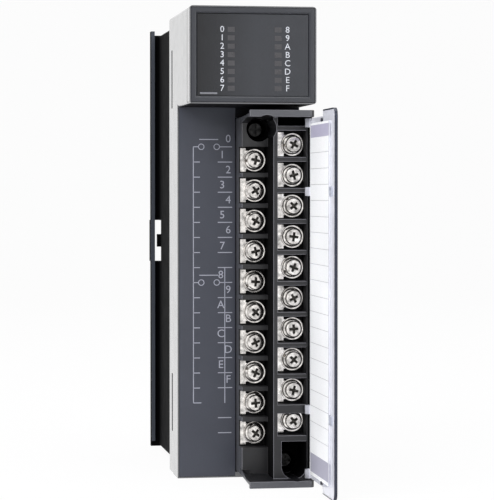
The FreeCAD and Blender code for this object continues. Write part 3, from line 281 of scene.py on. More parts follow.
front_shell = rounded_copy("front_case", "front_shell", 0.2 * MM)
grey_plastic = moulded("grey_case_plastic", shade(60, 61, 66), 0.18, depth=0.08, polish=1.0)
wear(front_shell, grey_plastic)
# painted shade: the underside of the head and the wall above the block get a dull dark grey
front_shell.data.materials.append(moulded("painted_shade_grey", shade(24, 24, 27), 0.7, depth=0.08, gloss=0.05))
panel_low, panel_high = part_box("label_panel")
head_floor, bay_wall = panel_high.z, panel_low.y
for face in front_shell.data.polygons:
    under_head = face.normal.z < -0.9 and abs(face.center.z - head_floor) < 0.1 * MM
    above_block = face.normal.y < -0.9 and abs(face.center.y - bay_wall) < 0.1 * MM and face.center.x > 0
    face.material_index = int(under_head or above_block)
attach(front_shell, "module")
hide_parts("front_case")


# Rear case: a deep black tub of the same plastic that carries the boards, the feet and the
# fixing lug. Its grain is coarser than the front's, and the flanges at its sides carry a painted highlight.
rear_shell = rounded_copy("rear_case", "rear_shell", 0.12 * MM)
wear(rear_shell, moulded("black_case_plastic", shade(9, 9, 10), 0.75, 3800.0, 0.3, gloss=0.04))
# painted highlight: the front-facing faces of the side flanges are lighter, as lit edges
rear_shell.data.materials.append(moulded("painted_flange_highlight", shade(58, 62, 70), 0.5, 3800.0, 0.3, gloss=0.4))
rear_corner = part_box("rear_case")[1]
flange_width, flange_depth = 1.0 * MM, 12.0 * MM
for face in rear_shell.data.polygons:
    on_flange = (abs(face.center.x) > rear_corner.x - flange_width
                 and face.center.y > rear_corner.y - flange_depth)
    face.material_index = int(on_flange and face.normal.y < -0.5)
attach(rear_shell, "module")
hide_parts("rear_case")


# Indicator head: a charcoal bezel round a smoked window, with painted shade making it darker towards its left
# side.
# Behind the window are the light guide and the lamps; the channel numbers are printed on it.
case_low, case_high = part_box("front_case")
bezel = rounded_copy("indicator_bezel", "head_bezel", 0.15 * MM)
wear(bezel, moulded("charcoal_plastic", shade(43, 45, 51), 0.32, depth=0.12))
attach(bezel, "module")
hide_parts("indicator_bezel")

window_glass = moulded("smoked_window_plastic", shade(50, 52, 58), 0.14, 2500.0, 0.03)
tree = window_glass.node_tree
# painted shade: a colour ramp across the window, darker towards its left side
spot = tree.nodes.new("ShaderNodeSeparateXYZ")
tree.links.new(tree.nodes.new("ShaderNodeTexCoord").outputs["Object"], spot.inputs[0])
smoke_and_shade = tree.nodes.new("ShaderNodeMapRange")
dark_side, light_side = -16 * MM, 1 * MM
smoke_and_shade.inputs["From Min"].default_value = dark_side
smoke_and_shade.inputs["From Max"].default_value = light_side
tree.links.new(spot.outputs["X"], smoke_and_shade.inputs["Value"])
window_shade_ramp = tree.nodes.new("ShaderNodeValToRGB")
window_shade_ramp.color_ramp.elements[0].color = shade(12, 13, 17)
window_shade_ramp.color_ramp.elements[1].color = shade(47, 49, 54)
tree.links.new(smoke_and_shade.outputs["Result"], window_shade_ramp.inputs["Fac"])
tree.links.new(window_shade_ramp.outputs["Color"], tree.nodes["Group"].inputs["Colour"])
wear(frame["nodes"]["indicator_window"], window_glass)


def written(words, size, across, down, front, name):
    """Flat printed figures, centred at a place on the module's front."""
    bpy.ops.object.select_all(action="DESELECT")
    bpy.ops.object.text_add()
    figure = bpy.context.object
    figure.name = name
    figure.data.body = words
    figure.data.size = size
    figure.data.align_x = "CENTER"
    figure.data.align_y = "CENTER"
    figure.data.extrude = 0.01 * MM
    figure.data.resolution_u = 3
    bpy.ops.object.convert(target="MESH")
    figure.location = (case_low.x + across * MM, front, case_high.z - down * MM)
    figure.rotation_euler = (math.radians(90), 0, 0)
    bpy.ops.object.transform_apply(location=True, rotation=True, scale=True)
    return figure


def joined(pieces, name):
    """Several meshes made one piece."""
    select_only(*pieces)
    bpy.ops.object.join()
    pieces[0].name = name
    return pieces[0]


window_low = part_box("indicator_window")[0]
first_channel, channel_pitch, figure_size, ink_lift = 6.29, 2.25, 2.35 * MM, 0.012 * MM
marks = []
for column, names in ((8.9, "01234567"), (26.7, "89ABCDEF")):
    for row, name in enumerate(names):
        marks.append(written(name, figure_size, column, first_channel + channel_pitch * row,
                             window_low.y - ink_lift, f"channel_{name}"))
channel_numbers = joined(marks, "channel_numbers")
white_ink = moulded("white_ink", shade(196, 199, 206), 0.5, 4000.0, 0.1)
wear(channel_numbers, white_ink)
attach(channel_numbers, "module")

# a light strip at the window's lower left corner: a painted highlight, the glint along the window's lower
# edge
glint_length, glint_stand, glint_height = 4.7 * MM, 0.3 * MM, 0.5 * MM
glint_strip = slab("window_glint_strip", (window_low.x + 0.7 * MM + glint_length / 2, window_low.y, window_low.z + 0.65 * MM),
           (glint_length, glint_stand, glint_height))
pick_faces(glint_strip, lambda middle, normal: normal.y < -0.9)
bpy.ops.object.mode_set(mode="EDIT")
bpy.ops.mesh.inset(thickness=0.12 * MM)
bpy.ops.object.mode_set(mode="OBJECT")
finish_edges(glint_strip, 0.05 * MM)
wear(glint_strip, moulded("painted_glint_strip", shade(112, 113, 119), 0.25, 3000.0, 0.1))
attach(glint_strip, "module")


def thin_patch(place, turn, size, lift):
    """A flat printed patch by its middle, its turn and its size, thickened the way of its lift."""
    bpy.ops.object.select_all(action="DESELECT")
    bpy.ops.mesh.primitive_plane_add(size=1, location=place, rotation=turn)
    patch = bpy.context.object
    patch.scale = (*size, 1)
    bpy.ops.object.transform_apply(location=True, rotation=True, scale=True)
    bpy.ops.object.mode_set(mode="EDIT")
    bpy.ops.mesh.select_all(action="SELECT")
    bpy.ops.mesh.extrude_region_move(TRANSFORM_OT_translate={"value": lift})
    bpy.ops.mesh.select_all(action="SELECT")
    bpy.ops.mesh.normals_make_consistent(inside=False)
    bpy.ops.object.mode_set(mode="OBJECT")
    return patch


def print_bar(across, down, width, height, front):
    """A flat printed bar, by its middle and its size, facing the front."""
    return thin_patch((case_low.x + across * MM, front, case_high.z - down * MM), (math.radians(90), 0, 0),
                      (width * MM, height * MM), (0, -ink_lift, 0))


field_width, field_height, field_lift = 1.9, 1.35, 0.004 * MM
fields = []
for column in (11.34, 24.13):
    for row in range(8):
        fields.append(print_bar(column, first_channel + channel_pitch * row, field_width, field_height,
                                window_low.y - field_lift))
indicator_fields = joined(fields, "indicator_fields")
wear(indicator_fields, moulded("unlit_field", shade(58, 57, 60), 0.3, 3000.0, 0.05))
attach(indicator_fields, "module")

wear(frame["nodes"]["light_guide"], moulded("guide_plastic", shade(196, 198, 200), 0.2, 2000.0, 0.05))
wear(frame["nodes"]["indicator_leds"], moulded("lamp_resin", shade(214, 208, 178), 0.3, 2000.0, 0.05))


# Label panel: a slate coloured plate let into the front wall, printed with the wiring diagram
# and the terminal numbers in white ink.
panel = frame["nodes"]["label_panel"]
wear(panel, moulded("slate_panel", shade(56, 59, 69), 0.42, 4200.0, 0.12))
line_width = 0.24
strokes = []


def stroke(start_across, start_down, end_across, end_down):
    """A printed line, level or upright, between two places on the panel."""
    width = abs(end_across - start_across) + line_width
    height = abs(end_down - start_down) + line_width
    strokes.append(print_bar((start_across + end_across) / 2, (start_down + end_down) / 2,
                             width, height, panel_low.y))


# the common line down the left, its branches to the terminals, and the two supplies' links
common, branch_end, terminal_start, terminal_end = 4.45, 6.19, 11.47, 15.32
first_branch, branch_pitch, last_branch = 37.2, 4.22, 108.9
supply_rows = (0, 9)
stroke(common, first_branch, common, last_branch)
stroke(common, last_branch, 6.56, last_branch)
for row in range(17):
    down = first_branch + branch_pitch * row
    if row not in supply_rows:
        stroke(common, down, branch_end, down)
        stroke(terminal_start, down, terminal_end, down)
for down in (113.15, 117.38):
    stroke(11.5, down, 15.06, down)
stroke(13.33, 71.1, 13.33, last_branch)
for down in (35.12, 73.1):
    lead = down + 2.05
    stroke(6.26, down, 11.34, down)
    stroke(common, lead, 5.7, lead)
    stroke(12.0, lead, terminal_end, lead)
ring_radius, ring_line = 0.78 * MM, 0.11 * MM
for down in (37.17, 75.15):
    for across in (6.68, 11.05):
        bpy.ops.object.select_all(action="DESELECT")
        bpy.ops.mesh.primitive_torus_add(
            location=(case_low.x + across * MM, panel_low.y, case_high.z - down * MM),
            rotation=(math.radians(90), 0, 0), major_radius=ring_radius, minor_radius=ring_line,
            major_segments=24, minor_segments=6)
        ring = bpy.context.object
        ring.scale = (1, 1, 0.15)
        bpy.ops.object.transform_apply(location=True, rotation=True, scale=True)
        strokes.append(ring)
wiring_diagram = joined(strokes, "wiring_diagram")
grey_ink = moulded("grey_ink", shade(158, 160, 172), 0.5, 4000.0, 0.1)
wear(wiring_diagram, grey_ink)
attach(wiring_diagram, "module")

# each terminal's name, and how far it stands across and down from the case's upper left corner
rows = (("0", 14.31, 34.97), ("1", 12.61, 39.45), ("2", 14.31, 43.65), ("3", 12.61, 47.85),
        ("4", 14.31, 52.05), ("5", 12.61, 56.25), ("6", 14.31, 60.45), ("7", 12.61, 64.93),
        ("8", 12.2, 73.04), ("9", 14.31, 77.24), ("A", 12.2, 81.44), ("B", 14.31, 85.36),
        ("C", 12.2, 89.56), ("D", 14.31, 94.04), ("E", 12.2, 98.24), ("F", 14.31, 102.44))
marks = [written(name, 3.1 * MM, across, down, panel_low.y - ink_lift, f"terminal_{name}")
         for name, across, down in rows]
terminal_numbers = joined(marks, "terminal_numbers")
wear(terminal_numbers, grey_ink)
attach(terminal_numbers, "module")


# Terminal block: a black glass-filled moulding. The edges of its walls, ribs and bars carry a painted
# highlight, its frontmost and left faces are painted lighter as lit, the wells that the terminals stand in
# are dull, and the recesses beyond are painted nearly black as shade.
block = rounded_copy("terminal_block_body", "block_moulding", 0.14 * MM, clamp=False)
block_plastic = moulded("block_plastic", shade(22, 22, 25), 0.36, 3600.0, 0.25, gloss=0.6)
# painted shade: a near black, unglossy copy for the faces inside the recesses
painted_recess_shade = moulded("painted_recess_shade", shade(7, 7, 8), 0.8, 3600.0, 0.2, gloss=0.05)
wear(block, block_plastic)
for finish in (painted_recess_shade,
               moulded("painted_lit_face", shade(74, 75, 80), 0.4, 3600.0, 0.3, gloss=0.6),
               moulded("painted_edge_highlight", shade(108, 108, 114), 0.36, 3600.0, 0.2, gloss=0.6),
               moulded("terminal_well", shade(30, 30, 32), 0.6, 3600.0, 0.2, gloss=0.2)):
    block.data.materials.append(finish)
recess, lit_face, highlight_round, well = 1, 2, 3, 4
block_low, block_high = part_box("terminal_block_body")
plate_low, plate_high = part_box("terminal_plates_left")
right_low, right_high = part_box("terminal_plates_right")
# how deep the block's bars, its ribs' tops and its lower step lie behind its frontmost face
bar_tops, rib_tops, step_top = 0.1 * MM, 5.5 * MM, 14.3 * MM
near, skin_depth = 0.25 * MM, 0.3 * MM
for face in block.data.polygons:
    middle, normal = face.center, face.normal
    depth = middle.y - block_low.y
    on_upper = middle.x > plate_high.x + 1.5 * MM
    floor_depth = (5.9 if on_upper else 14.6) * MM
    inside = (plate_low.x - 0.1 * MM < middle.x < block_high.x - 1.15 * MM
              and block_low.z + 2.0 * MM < middle.z < block_high.z - 2.0 * MM)
    catches_light = abs(depth - bar_tops) < near or abs(depth - rib_tops) < near or (
        middle.x < block_low.x + 0.5 * MM and abs(depth - step_top) < near)
    right_edge = middle.x > right_high.x + skin_depth
    # painted highlight on the rounded edges, painted shade in the recesses, painted light on the front and
    # left faces
    if catches_light and -0.95 < normal.y < -0.2 and not right_edge:
        face.material_index = highlight_round
    elif right_edge and normal.y < -0.2 and abs(depth - 5.4 * MM) < 0.4 * MM:
        face.material_index = recess
    elif normal.x < -0.9 and middle.x < block_low.x + skin_depth:
        face.material_index = lit_face
    elif normal.x < -0.9 and plate_high.x < middle.x < plate_high.x + 0.8 * MM:
        face.material_index = recess
    elif inside and floor_depth < depth < block_high.y - block_low.y - 6.0 * MM:
        last, first = (right_low.z, right_high.z) if on_upper else (plate_low.z, plate_high.z)
        face.material_index = well if last - 0.8 * MM < middle.z < first + 0.8 * MM else recess
    elif normal.y < -0.9 and depth < skin_depth:
        face.material_index = lit_face
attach(block, "terminal_block")
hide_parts("terminal_block_body")


# Block flank: the thickening of the moulding's right wall between its end bars, which shields the
# terminals behind the cover's hinge.
flank_left, flank_right = block_high.x - 1.0 * MM, block_high.x - 0.3 * MM
flank_front, flank_rear = block_low.y + 5.4 * MM, block_high.y - 0.6 * MM
end_bar = 2.2 * MM
flank = slab("block_flank", ((flank_left + flank_right) / 2, (flank_front + flank_rear) / 2,
                             (block_low.z + block_high.z) / 2),
             (flank_right - flank_left, flank_rear - flank_front, block_high.z - block_low.z - 2 * end_bar))
finish_edges(flank, 0.14 * MM)
wear(flank, block_plastic)
flank.data.materials.append(painted_recess_shade)
# painted shade: the flank's front faces take the near black recess copy
for face in flank.data.polygons:
    face.material_index = int(face.normal.y < -0.5)
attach(flank, "terminal_block")


# Terminal hardware: nickel plated plates, clamping washers and screws, bright but with the
# cloudy patches and turning marks of barrel plated parts.
plating, plating_in, plating_out = open_group(
    "bright_plating",
    [("Colour", "NodeSocketColor", (0.8, 0.8, 0.8, 1)), ("Roughness", "NodeSocketFloat", 0.2)],
    [("Colour", "NodeSocketColor"), ("Roughness", "NodeSocketFloat"), ("Normal", "NodeSocketVector")])
place_on = plating.nodes.new("ShaderNodeTexCoord")
cloud = noise_node(plating, 760.0, 4.0, place_on)
turning = noise_node(plating, 900.0, 6.0, place_on)
plating.links.new(tinted(plating, plating_in.outputs["Colour"], spread(plating, cloud.outputs[0], 0.4, 1.24)),
                  plating_out.inputs["Colour"])
plating.links.new(maths(plating, "ADD", plating_in.outputs["Roughness"],
                        spread(plating, cloud.outputs[0], 0.08, -0.04)), plating_out.inputs["Roughness"])
bump = plating.nodes.new("ShaderNodeBump")
bump.inputs["Distance"].default_value = 0.02 * MM
bump.inputs["Strength"].default_value = 0.35
plating.links.new(turning.outputs[0], bump.inputs["Height"])
plating.links.new(bump.outputs["Normal"], plating_out.inputs["Normal"])


def plated(name, colour, roughness):
    """A plated metal."""
    material, shader = surfaced(name, plating, Colour=colour, Roughness=roughness)
    shader.inputs["Metallic"].default_value = 1.0
    return material


nickel = plated("nickel_plate", shade(238, 234, 230), 0.12)
# painted shade: a darker plated copy for the inside of the screws' cross recesses
slot_shadow = plated("painted_slot_shade", shade(84, 82, 78), 0.4)
for side in ("left", "right"):
    plates = rounded_copy(f"terminal_plates_{side}", f"wire_plates_{side}", 0.1 * MM)
    wear(plates, nickel)
    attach(plates, "terminal_block")
    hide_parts(f"terminal_plates_{side}")


# one screw, standing on its underside: pan head, shank, and a cross recess with tapering wings
head_radius, head_height, head_round = 2.22 * MM, 1.9 * MM, 0.36 * MM
shank_inset, shank_length = 0.72 * MM, 8.3 * MM
wing_size, wing_taper = (3.3 * MM, 0.86 * MM, 2.2 * MM), 0.55
bpy.ops.object.select_all(action="DESELECT")
bpy.ops.mesh.primitive_cylinder_add(vertices=36, radius=head_radius, depth=head_height,
                                    location=(0, 0, head_height / 2))
screw = bpy.context.object
bpy.ops.object.transform_apply(location=True, rotation=True, scale=True)
pick_faces(screw, lambda middle, normal: normal.z > 0.9)
bpy.ops.object.mode_set(mode="EDIT")
bpy.ops.mesh.bevel(offset=head_round, segments=4, profile=0.55, affect="EDGES")
bpy.ops.object.mode_set(mode="OBJECT")
pick_faces(screw, lambda middle, normal: normal.z < -0.9)
bpy.ops.object.mode_set(mode="EDIT")
bpy.ops.mesh.inset(thickness=shank_inset)
bpy.ops.mesh.extrude_region_move(TRANSFORM_OT_translate={"value": (0, 0, -shank_length)})
bpy.ops.object.mode_set(mode="OBJECT")
for turn in (0, 90):
    wing = slab("recess_wing", (0, 0, head_height), wing_size, math.radians(turn))
    pick_faces(wing, lambda middle, normal: normal.z < -0.9)
    bpy.ops.object.mode_set(mode="EDIT")
    bpy.ops.transform.resize(value=(wing_taper, wing_taper, 1), center_override=(0, 0, 0))
    bpy.ops.object.mode_set(mode="OBJECT")
    select_only(screw)
    cut = screw.modifiers.new("cut", "BOOLEAN")
    cut.object = wing
    cut.operation = "DIFFERENCE"
    cut.solver = "EXACT"
    bpy.ops.object.modifier_apply(modifier="cut")
    bpy.data.objects.remove(wing)
wear(screw, nickel)
# painted shade in the cross recess of each screw head
screw.data.materials.append(slot_shadow)
for face in screw.data.polygons:
    in_recess = 0.6 * MM < face.center.z < head_height - 0.08 * MM and face.center.xy.length < 1.75 * MM
    face.material_index = int(in_recess)
finish_edges(screw, 0.05 * MM, 1)


def washer(inner, outer, rise, thick, gap, name):
    """A ring of sheet metal: coned by its rise, and split where gap says."""
    bpy.ops.object.select_all(action="DESELECT")
    bpy.ops.mesh.primitive_circle_add(vertices=40, radius=inner, location=(0, 0, rise))
    ring = bpy.context.object
    ring.name = name
    bpy.ops.object.transform_apply(location=True, rotation=True, scale=True)
    bpy.ops.object.mode_set(mode="EDIT")
    bpy.ops.mesh.select_mode(type="VERT")
    bpy.ops.mesh.select_all(action="SELECT")
    bpy.ops.mesh.extrude_region_move()
    bpy.ops.transform.resize(value=(outer / inner, outer / inner, 1), center_override=(0, 0, 0))
    bpy.ops.transform.translate(value=(0, 0, -rise))
    bpy.ops.mesh.select_all(action="SELECT")
    bpy.ops.mesh.normals_make_consistent(inside=False)
    bpy.ops.object.mode_set(mode="OBJECT")
    if gap:
        pick_faces(ring, lambda middle, normal: middle.x > 0 and abs(middle.y) < 0.2 * MM)
        bpy.ops.object.mode_set(mode="EDIT")
        bpy.ops.mesh.delete(type="FACE")
        bpy.ops.object.mode_set(mode="OBJECT")
    sheet = ring.modifiers.new("sheet", "SOLIDIFY")
    sheet.thickness = thick
    sheet.offset = 1 if ring.data.polygons[0].normal.z > 0 else -1
    bpy.ops.object.modifier_apply(modifier="sheet")
    finish_edges(ring, 0.06 * MM, 2)
    return ring


bore = 1.62 * MM
spring = washer(bore, 2.6 * MM, 0.12 * MM, 0.36 * MM, True, "spring_washer")
clamp = washer(bore, 3.17 * MM, -0.45 * MM, 0.26 * MM, False, "clamp_washer")
# how the ten screws of a column were left turned, in degrees, and how much further the right one's
turns = (12, 57, 31, 78, 4, 44, 68, 22, 85, 36)
for side, skew in (("left", 0), ("right", 19)):
    low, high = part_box(f"terminal_screws_{side}")
    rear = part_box(f"clamp_washers_{side}")[1].y
    cad_radius = 2.4 * MM
    column = (low.x + high.x) / 2
    first = high.z - cad_radius
    pitch = (high.z - low.z - 2 * cad_radius) / (len(turns) - 1)
    heads, springs, clamps = [], [], []
    for row, turn in enumerate(turns):
        for made, pattern, stand, spin in (
                (heads, screw, 0.87 * MM, turn + skew), (springs, spring, 0.44 * MM, 3 * turn + 140),
                (clamps, clamp, 0.12 * MM, 0)):
            one = pattern.copy()
            one.data = pattern.data.copy()
            bpy.context.scene.collection.objects.link(one)
            lean = 0 if made is heads else math.radians(2.5 * math.sin(5 * row + 9 * skew))
            one.rotation_euler = (math.radians(90) + lean, math.radians(spin), lean)
            one.location = (column, rear - stand, first - row * pitch)
            select_only(one)
            bpy.ops.object.transform_apply(location=True, rotation=True, scale=True)
            made.append(one)
    heads = joined(heads, f"pan_screws_{side}")
    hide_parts(f"terminal_screws_{side}")
    clamps = joined(clamps + springs, f"sprung_washers_{side}")
    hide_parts(f"clamp_washers_{side}")
    wear(clamps, nickel)
    for piece in (heads, clamps):
        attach(piece, "terminal_block")
for pattern in (screw, spring, clamp):
    bpy.data.objects.remove(pattern)


# Captive screws and their clips: dark passivated steel, seen deep in the two round recesses.
zinc = plated("zinc_plate", shade(70, 70, 70), 0.42)
for part in ("upper_block_screw", "lower_block_screw", "upper_screw_clip", "lower_screw_clip"):
    wear(frame["nodes"][part], zinc)


# Inside pieces: brass nuts, tinned contacts, green laminate boards with their black parts, and
# the grey rear connector with gold pins.
wear(frame["nodes"]["insert_nuts"], plated("turned_brass", shade(206, 172, 96), 0.25))
wear(frame["nodes"]["plug_contacts"], plated("tinned_contact", shade(205, 203, 196), 0.3))
wear(frame["nodes"]["connector_pins"], plated("gold_pin", shade(226, 186, 96), 0.2))
laminate = moulded("board_laminate", shade(30, 92, 54), 0.35, 1800.0, 0.2)
for part in ("indicator_board", "main_board", "terminal_board"):
    wear(frame["nodes"][part], laminate)
part_black = moulded("part_black", shade(30, 30, 32), 0.5, 4000.0, 0.2)
for part in ("block_socket", "board_link", "input_couplers", "input_resistors", "interface_chips"):
    wear(frame["nodes"][part], part_black)
connector_plastic = moulded("connector_plastic", shade(92, 92, 96), 0.45, 3500.0, 0.2)
wear(frame["nodes"]["backplane_connector"], connector_plastic)


# Terminal cover: a clear moulded door on two pivots, which looks smoky at its rims and its outer
# face, with painted shade greying its knuckles, and the white card with ruled lines that slides in behind it.
cover = rounded_copy("terminal_cover", "cover_door", 0.1 * MM)
cover_low, cover_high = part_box("terminal_cover")
card_low, card_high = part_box("label_sheet")
clear, tree, shader = blank_material("clear_cover_plastic")
surface = tree.nodes.new("ShaderNodeGroup")
surface.node_tree = skin
surface.inputs["Roughness"].default_value = 0.1
surface.inputs["Grain"].default_value = 900.0
surface.inputs["Depth"].default_value = 0.0
own_axes = tree.nodes.new("ShaderNodeTexCoord")
spot = tree.nodes.new("ShaderNodeSeparateXYZ")
tree.links.new(own_axes.outputs["Object"], spot.inputs[0])
facing = tree.nodes.new("ShaderNodeSeparateXYZ")
tree.links.new(own_axes.outputs["Normal"], facing.inputs[0])
rim = maths(tree, "LESS_THAN", maths(tree, "ABSOLUTE", facing.outputs["X"]), 0.5)
outer_half = maths(tree, "LESS_THAN", spot.outputs["Y"], cover_low.y + 17.0 * MM)
plate_thickness, knuckle_depth, tip_length = 0.92 * MM, 1.4 * MM, 0.4 * MM
in_plate = maths(tree, "GREATER_THAN", spot.outputs["X"], cover_high.x - plate_thickness)
thick = tree.nodes.new("ShaderNodeValToRGB")
thick.color_ramp.elements[0].color = shade(243, 244, 253)
thick.color_ramp.elements[1].color = shade(52, 55, 68)
cover_middle, half_height = (cover_low.z + cover_high.z) / 2, (cover_high.z - cover_low.z) / 2
from_middle = maths(tree, "ABSOLUTE", maths(tree, "SUBTRACT", spot.outputs["Z"], cover_middle))
tips = maths(tree, "GREATER_THAN", from_middle, half_height - tip_length)
edge_on = maths(tree, "MULTIPLY", maths(tree, "MAXIMUM", rim, tips),
                maths(tree, "MULTIPLY", outer_half, in_plate))
# painted shade: the knuckles are tinted grey
knuckle_shade = maths(tree, "LESS_THAN", spot.outputs["X"], cover_high.x - knuckle_depth)
outside = maths(tree, "GREATER_THAN", facing.outputs["X"], 0.5)
smoke_and_shade = maths(tree, "MAXIMUM", maths(tree, "MULTIPLY", knuckle_shade, 0.45),
              maths(tree, "MULTIPLY", outside, 0.24))
tree.links.new(maths(tree, "MAXIMUM", edge_on, smoke_and_shade), thick.inputs["Fac"])
tree.links.new(thick.outputs["Color"], surface.inputs["Colour"])
tree.links.new(surface.outputs["Colour"], shader.inputs["Base Color"])
tree.links.new(surface.outputs["Roughness"], shader.inputs["Roughness"])
shader.inputs["Transmission Weight"].default_value = 0.25
shader.inputs["IOR"].default_value = 1.35
wear(cover, clear)
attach(cover, "cover")
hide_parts("terminal_cover")

card = frame["nodes"]["label_sheet"]
wear(card, moulded("card_stock", shade(250, 251, 253), 0.6, 2600.0, 0.05))


def card_bar(near, far, upper, lower, name):
    """A printed patch on the card: from near to far of the hinge, and from upper to lower."""
    patch = thin_patch((card_low.x - ink_lift, card_high.y - (near + far) / 2 * MM,
                        case_high.z - (upper + lower) / 2 * MM), (0, math.radians(-90), 0),
                       ((lower - upper) * MM, (far - near) * MM), (-0.008 * MM, 0, 0))
    patch.name = name
    return patch


header = card_bar(0.6, 26.6, 31.9, 35.2, "card_header")
wear(header, moulded("lilac_print", shade(182, 179, 201), 0.6, 2600.0, 0.1))
footer = card_bar(0.6, 26.6, 120.5, 125.6, "card_footer")
wear(footer, moulded("grey_lilac_print", shade(172, 171, 186), 0.6, 2600.0, 0.1))
first_rule, rule_pitch, half_rule = 39.3, 4.27, 0.07
rules = []
for row in range(19):
    down = first_rule + rule_pitch * row
    rules.append(card_bar(0.6, 26.0, down - half_rule, down + half_rule, "rule"))
rules = joined(rules, "card_rules")
wear(rules, moulded("grey_print", shade(190, 190, 194), 0.6, 2600.0, 0.1))
for piece in (header, footer, rules):
    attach(piece, "cover")


# Stops: two smoky pips pressed through the cover just inside its notches, which rest behind the
# end bars when it is shut.
pip_radius, pip_length = 0.5 * MM, 1.4 * MM
upper_pip, lower_pip = case_high.z - 30.8 * MM, case_low.z + 3.1 * MM
stops = []
for height in (upper_pip, lower_pip):
    bpy.ops.object.select_all(action="DESELECT")
    bpy.ops.mesh.primitive_cylinder_add(
        vertices=20, radius=pip_radius, depth=pip_length, rotation=(0, math.radians(90), 0),
        location=(cover_high.x - 0.72 * MM, card_high.y - 15.75 * MM, height))
    stop = bpy.context.object
    bpy.ops.object.transform_apply(location=True, rotation=True, scale=True)
    finish_edges(stop, 0.12 * MM)
    stops.append(stop)
stops = joined(stops, "cover_stops")
wear(stops, moulded("smoky_pip", shade(44, 44, 54), 0.3, 3000.0, 0.1))
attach(stops, "cover")


# Card catches: two thin moulded pads at the card's outer edge, level with the cover's middle
# knuckles, each with a shallow sink in its face.
catch_size, catch_border, catch_sink = (0.5 * MM, 3.1 * MM, 2.5 * MM), 0.4 * MM, 0.15 * MM
upper_catch, lower_catch = case_high.z - 49.7 * MM, case_low.z + 20.9 * MM
catches = []
for height in (upper_catch, lower_catch):
    catch = slab("card_catch", (cover_high.x - 1.05 * MM, card_low.y - 2.0 * MM, height), catch_size)
    finish_edges(catch, 0.12 * MM)
    pick_faces(catch, lambda middle, normal: normal.x < -0.98)
    bpy.ops.object.mode_set(mode="EDIT")
    bpy.ops.mesh.inset(thickness=catch_border)
    bpy.ops.mesh.extrude_region_move(TRANSFORM_OT_translate={"value": (catch_sink, 0, 0)})
    bpy.ops.object.mode_set(mode="OBJECT")
    catches.append(catch)
catches = joined(catches, "card_catches")
wear(catches, moulded("clouded_pad", shade(176, 180, 194), 0.3, 3000.0, 0.1))
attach(catches, "cover")


# Studio: a pale sweep under and behind the module, a large soft lamp at the upper left, weaker
# ones at the right and above, and a white surround.
floor_level = cad_box[0][2]
sweep_length, sweep_depth, wall_height, bend_radius = 5.0, 3.4, 2.4, 0.7
bpy.ops.object.select_all(action="DESELECT")
bpy.ops.mesh.primitive_plane_add(size=1, location=(0, 0, floor_level))
sweep = bpy.context.object
sweep.name = "studio_sweep"
sweep.scale = (sweep_length, sweep_depth, 1)
bpy.ops.object.transform_apply(location=True, rotation=True, scale=True)
bpy.ops.object.mode_set(mode="EDIT")
bpy.ops.mesh.select_all(action="DESELECT")
bpy.ops.mesh.select_mode(type="EDGE")
bpy.ops.object.mode_set(mode="OBJECT")
for edge in sweep.data.edges:
    edge.select = all(sweep.data.vertices[v].co.y > 1.0 for v in edge.vertices)
bpy.ops.object.mode_set(mode="EDIT")
bpy.ops.mesh.extrude_region_move(TRANSFORM_OT_translate={"value": (0, 0, wall_height)})
bpy.ops.object.mode_set(mode="OBJECT")
bend = sweep.modifiers.new("bend", "BEVEL")
bend.width = bend_radius
bend.segments = 12
bpy.ops.object.modifier_apply(modifier="bend")
bpy.ops.object.shade_smooth()
pale, tree, shader = blank_material("pale_paper")
shader.inputs["Roughness"].default_value = 0.9
paper_grain = noise_node(tree, 60.0, 4.0, tree.nodes.new("ShaderNodeTexCoord"))
ramp = tree.nodes.new("ShaderNodeValToRGB")
ramp.color_ramp.elements[0].color = shade(232, 232, 234)
ramp.color_ramp.elements[1].color = shade(240, 240, 241)
tree.links.new(paper_grain.outputs[0], ramp.inputs["Fac"])
tree.links.new(ramp.outputs["Color"], shader.inputs["Base Color"])
glow = tree.nodes.new("ShaderNodeEmission")
glow.inputs["Strength"].default_value = 1.0
sight = tree.nodes.new("ShaderNodeLightPath")
seen = maths(tree, "MAXIMUM", sight.outputs["Is Camera Ray"],
             maths(tree, "MAXIMUM", sight.outputs["Is Glossy Ray"], sight.outputs["Is Transmission Ray"]))
mix = tree.nodes.new("ShaderNodeMixShader")
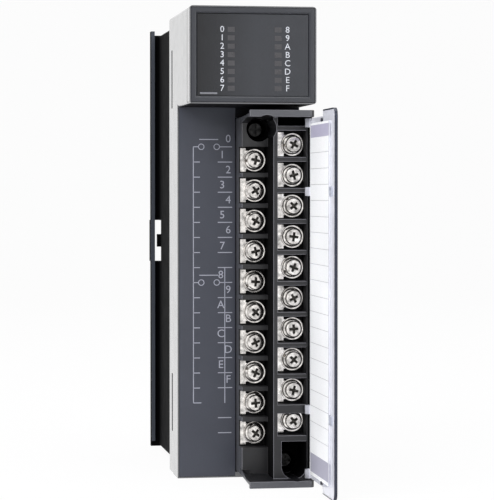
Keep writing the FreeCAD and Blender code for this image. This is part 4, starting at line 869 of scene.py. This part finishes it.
tree.links.new(maths(tree, "MULTIPLY", seen, 0.94), mix.inputs[0])
tree.links.new(shader.outputs[0], mix.inputs[1])
tree.links.new(glow.outputs[0], mix.inputs[2])
tree.links.new(mix.outputs[0], tree.nodes["Material Output"].inputs["Surface"])
wear(sweep, pale)

world = bpy.data.worlds.new("studio_air")
bpy.context.scene.world = world
world.use_nodes = True
tree = world.node_tree
air = tree.nodes["Background"]
air.inputs["Color"].default_value = (1, 1, 1, 1)
sight = tree.nodes.new("ShaderNodeLightPath")
plain = maths(tree, "MAXIMUM", sight.outputs["Is Camera Ray"],
              maths(tree, "MAXIMUM", sight.outputs["Is Glossy Ray"], sight.outputs["Is Transmission Ray"]))
soft = maths(tree, "MULTIPLY", maths(tree, "SUBTRACT", 1.0, plain), 0.3)
tree.links.new(maths(tree, "ADD", plain, soft), air.inputs["Strength"])


def soft_lamp(name, place, width, height, power, aim):
    """A large rectangular lamp pointed at a place."""
    light = bpy.data.lights.new(name, "AREA")
    light.shape = "RECTANGLE"
    light.size = width
    light.size_y = height
    light.energy = power
    lamp = bpy.data.objects.new(name, light)
    bpy.context.scene.collection.objects.link(lamp)
    lamp.location = place
    lamp.rotation_euler = (Vector(aim) - Vector(place)).to_track_quat("-Z", "Y").to_euler()
    return lamp


soft_lamp("key_lamp", (-0.75, -0.9, 0.75), 1.0, 1.0, 15.5, (0, -0.06, 0)).visible_glossy = False
soft_lamp("fill_lamp", (0.7, -1.0, 0.35), 0.9, 0.9, 5.0, (0, -0.06, 0))
soft_lamp("top_lamp", (0.0, -0.1, 1.0), 0.9, 0.9, 6.0, (0, -0.05, 0))

view = bpy.data.cameras.new("view")
camera = bpy.data.objects.new("view", view)
bpy.context.scene.collection.objects.link(camera)
camera.location = (-0.09265, -0.652, 0.0144)
camera.rotation_euler = (math.radians(88.5), 0, math.radians(-9.25))
view.sensor_fit = "HORIZONTAL"
view.sensor_width = 36.0
view.lens = 153.5
view.clip_start = 0.01
bpy.context.scene.camera = camera
bpy.context.scene.view_settings.view_transform = "Standard"
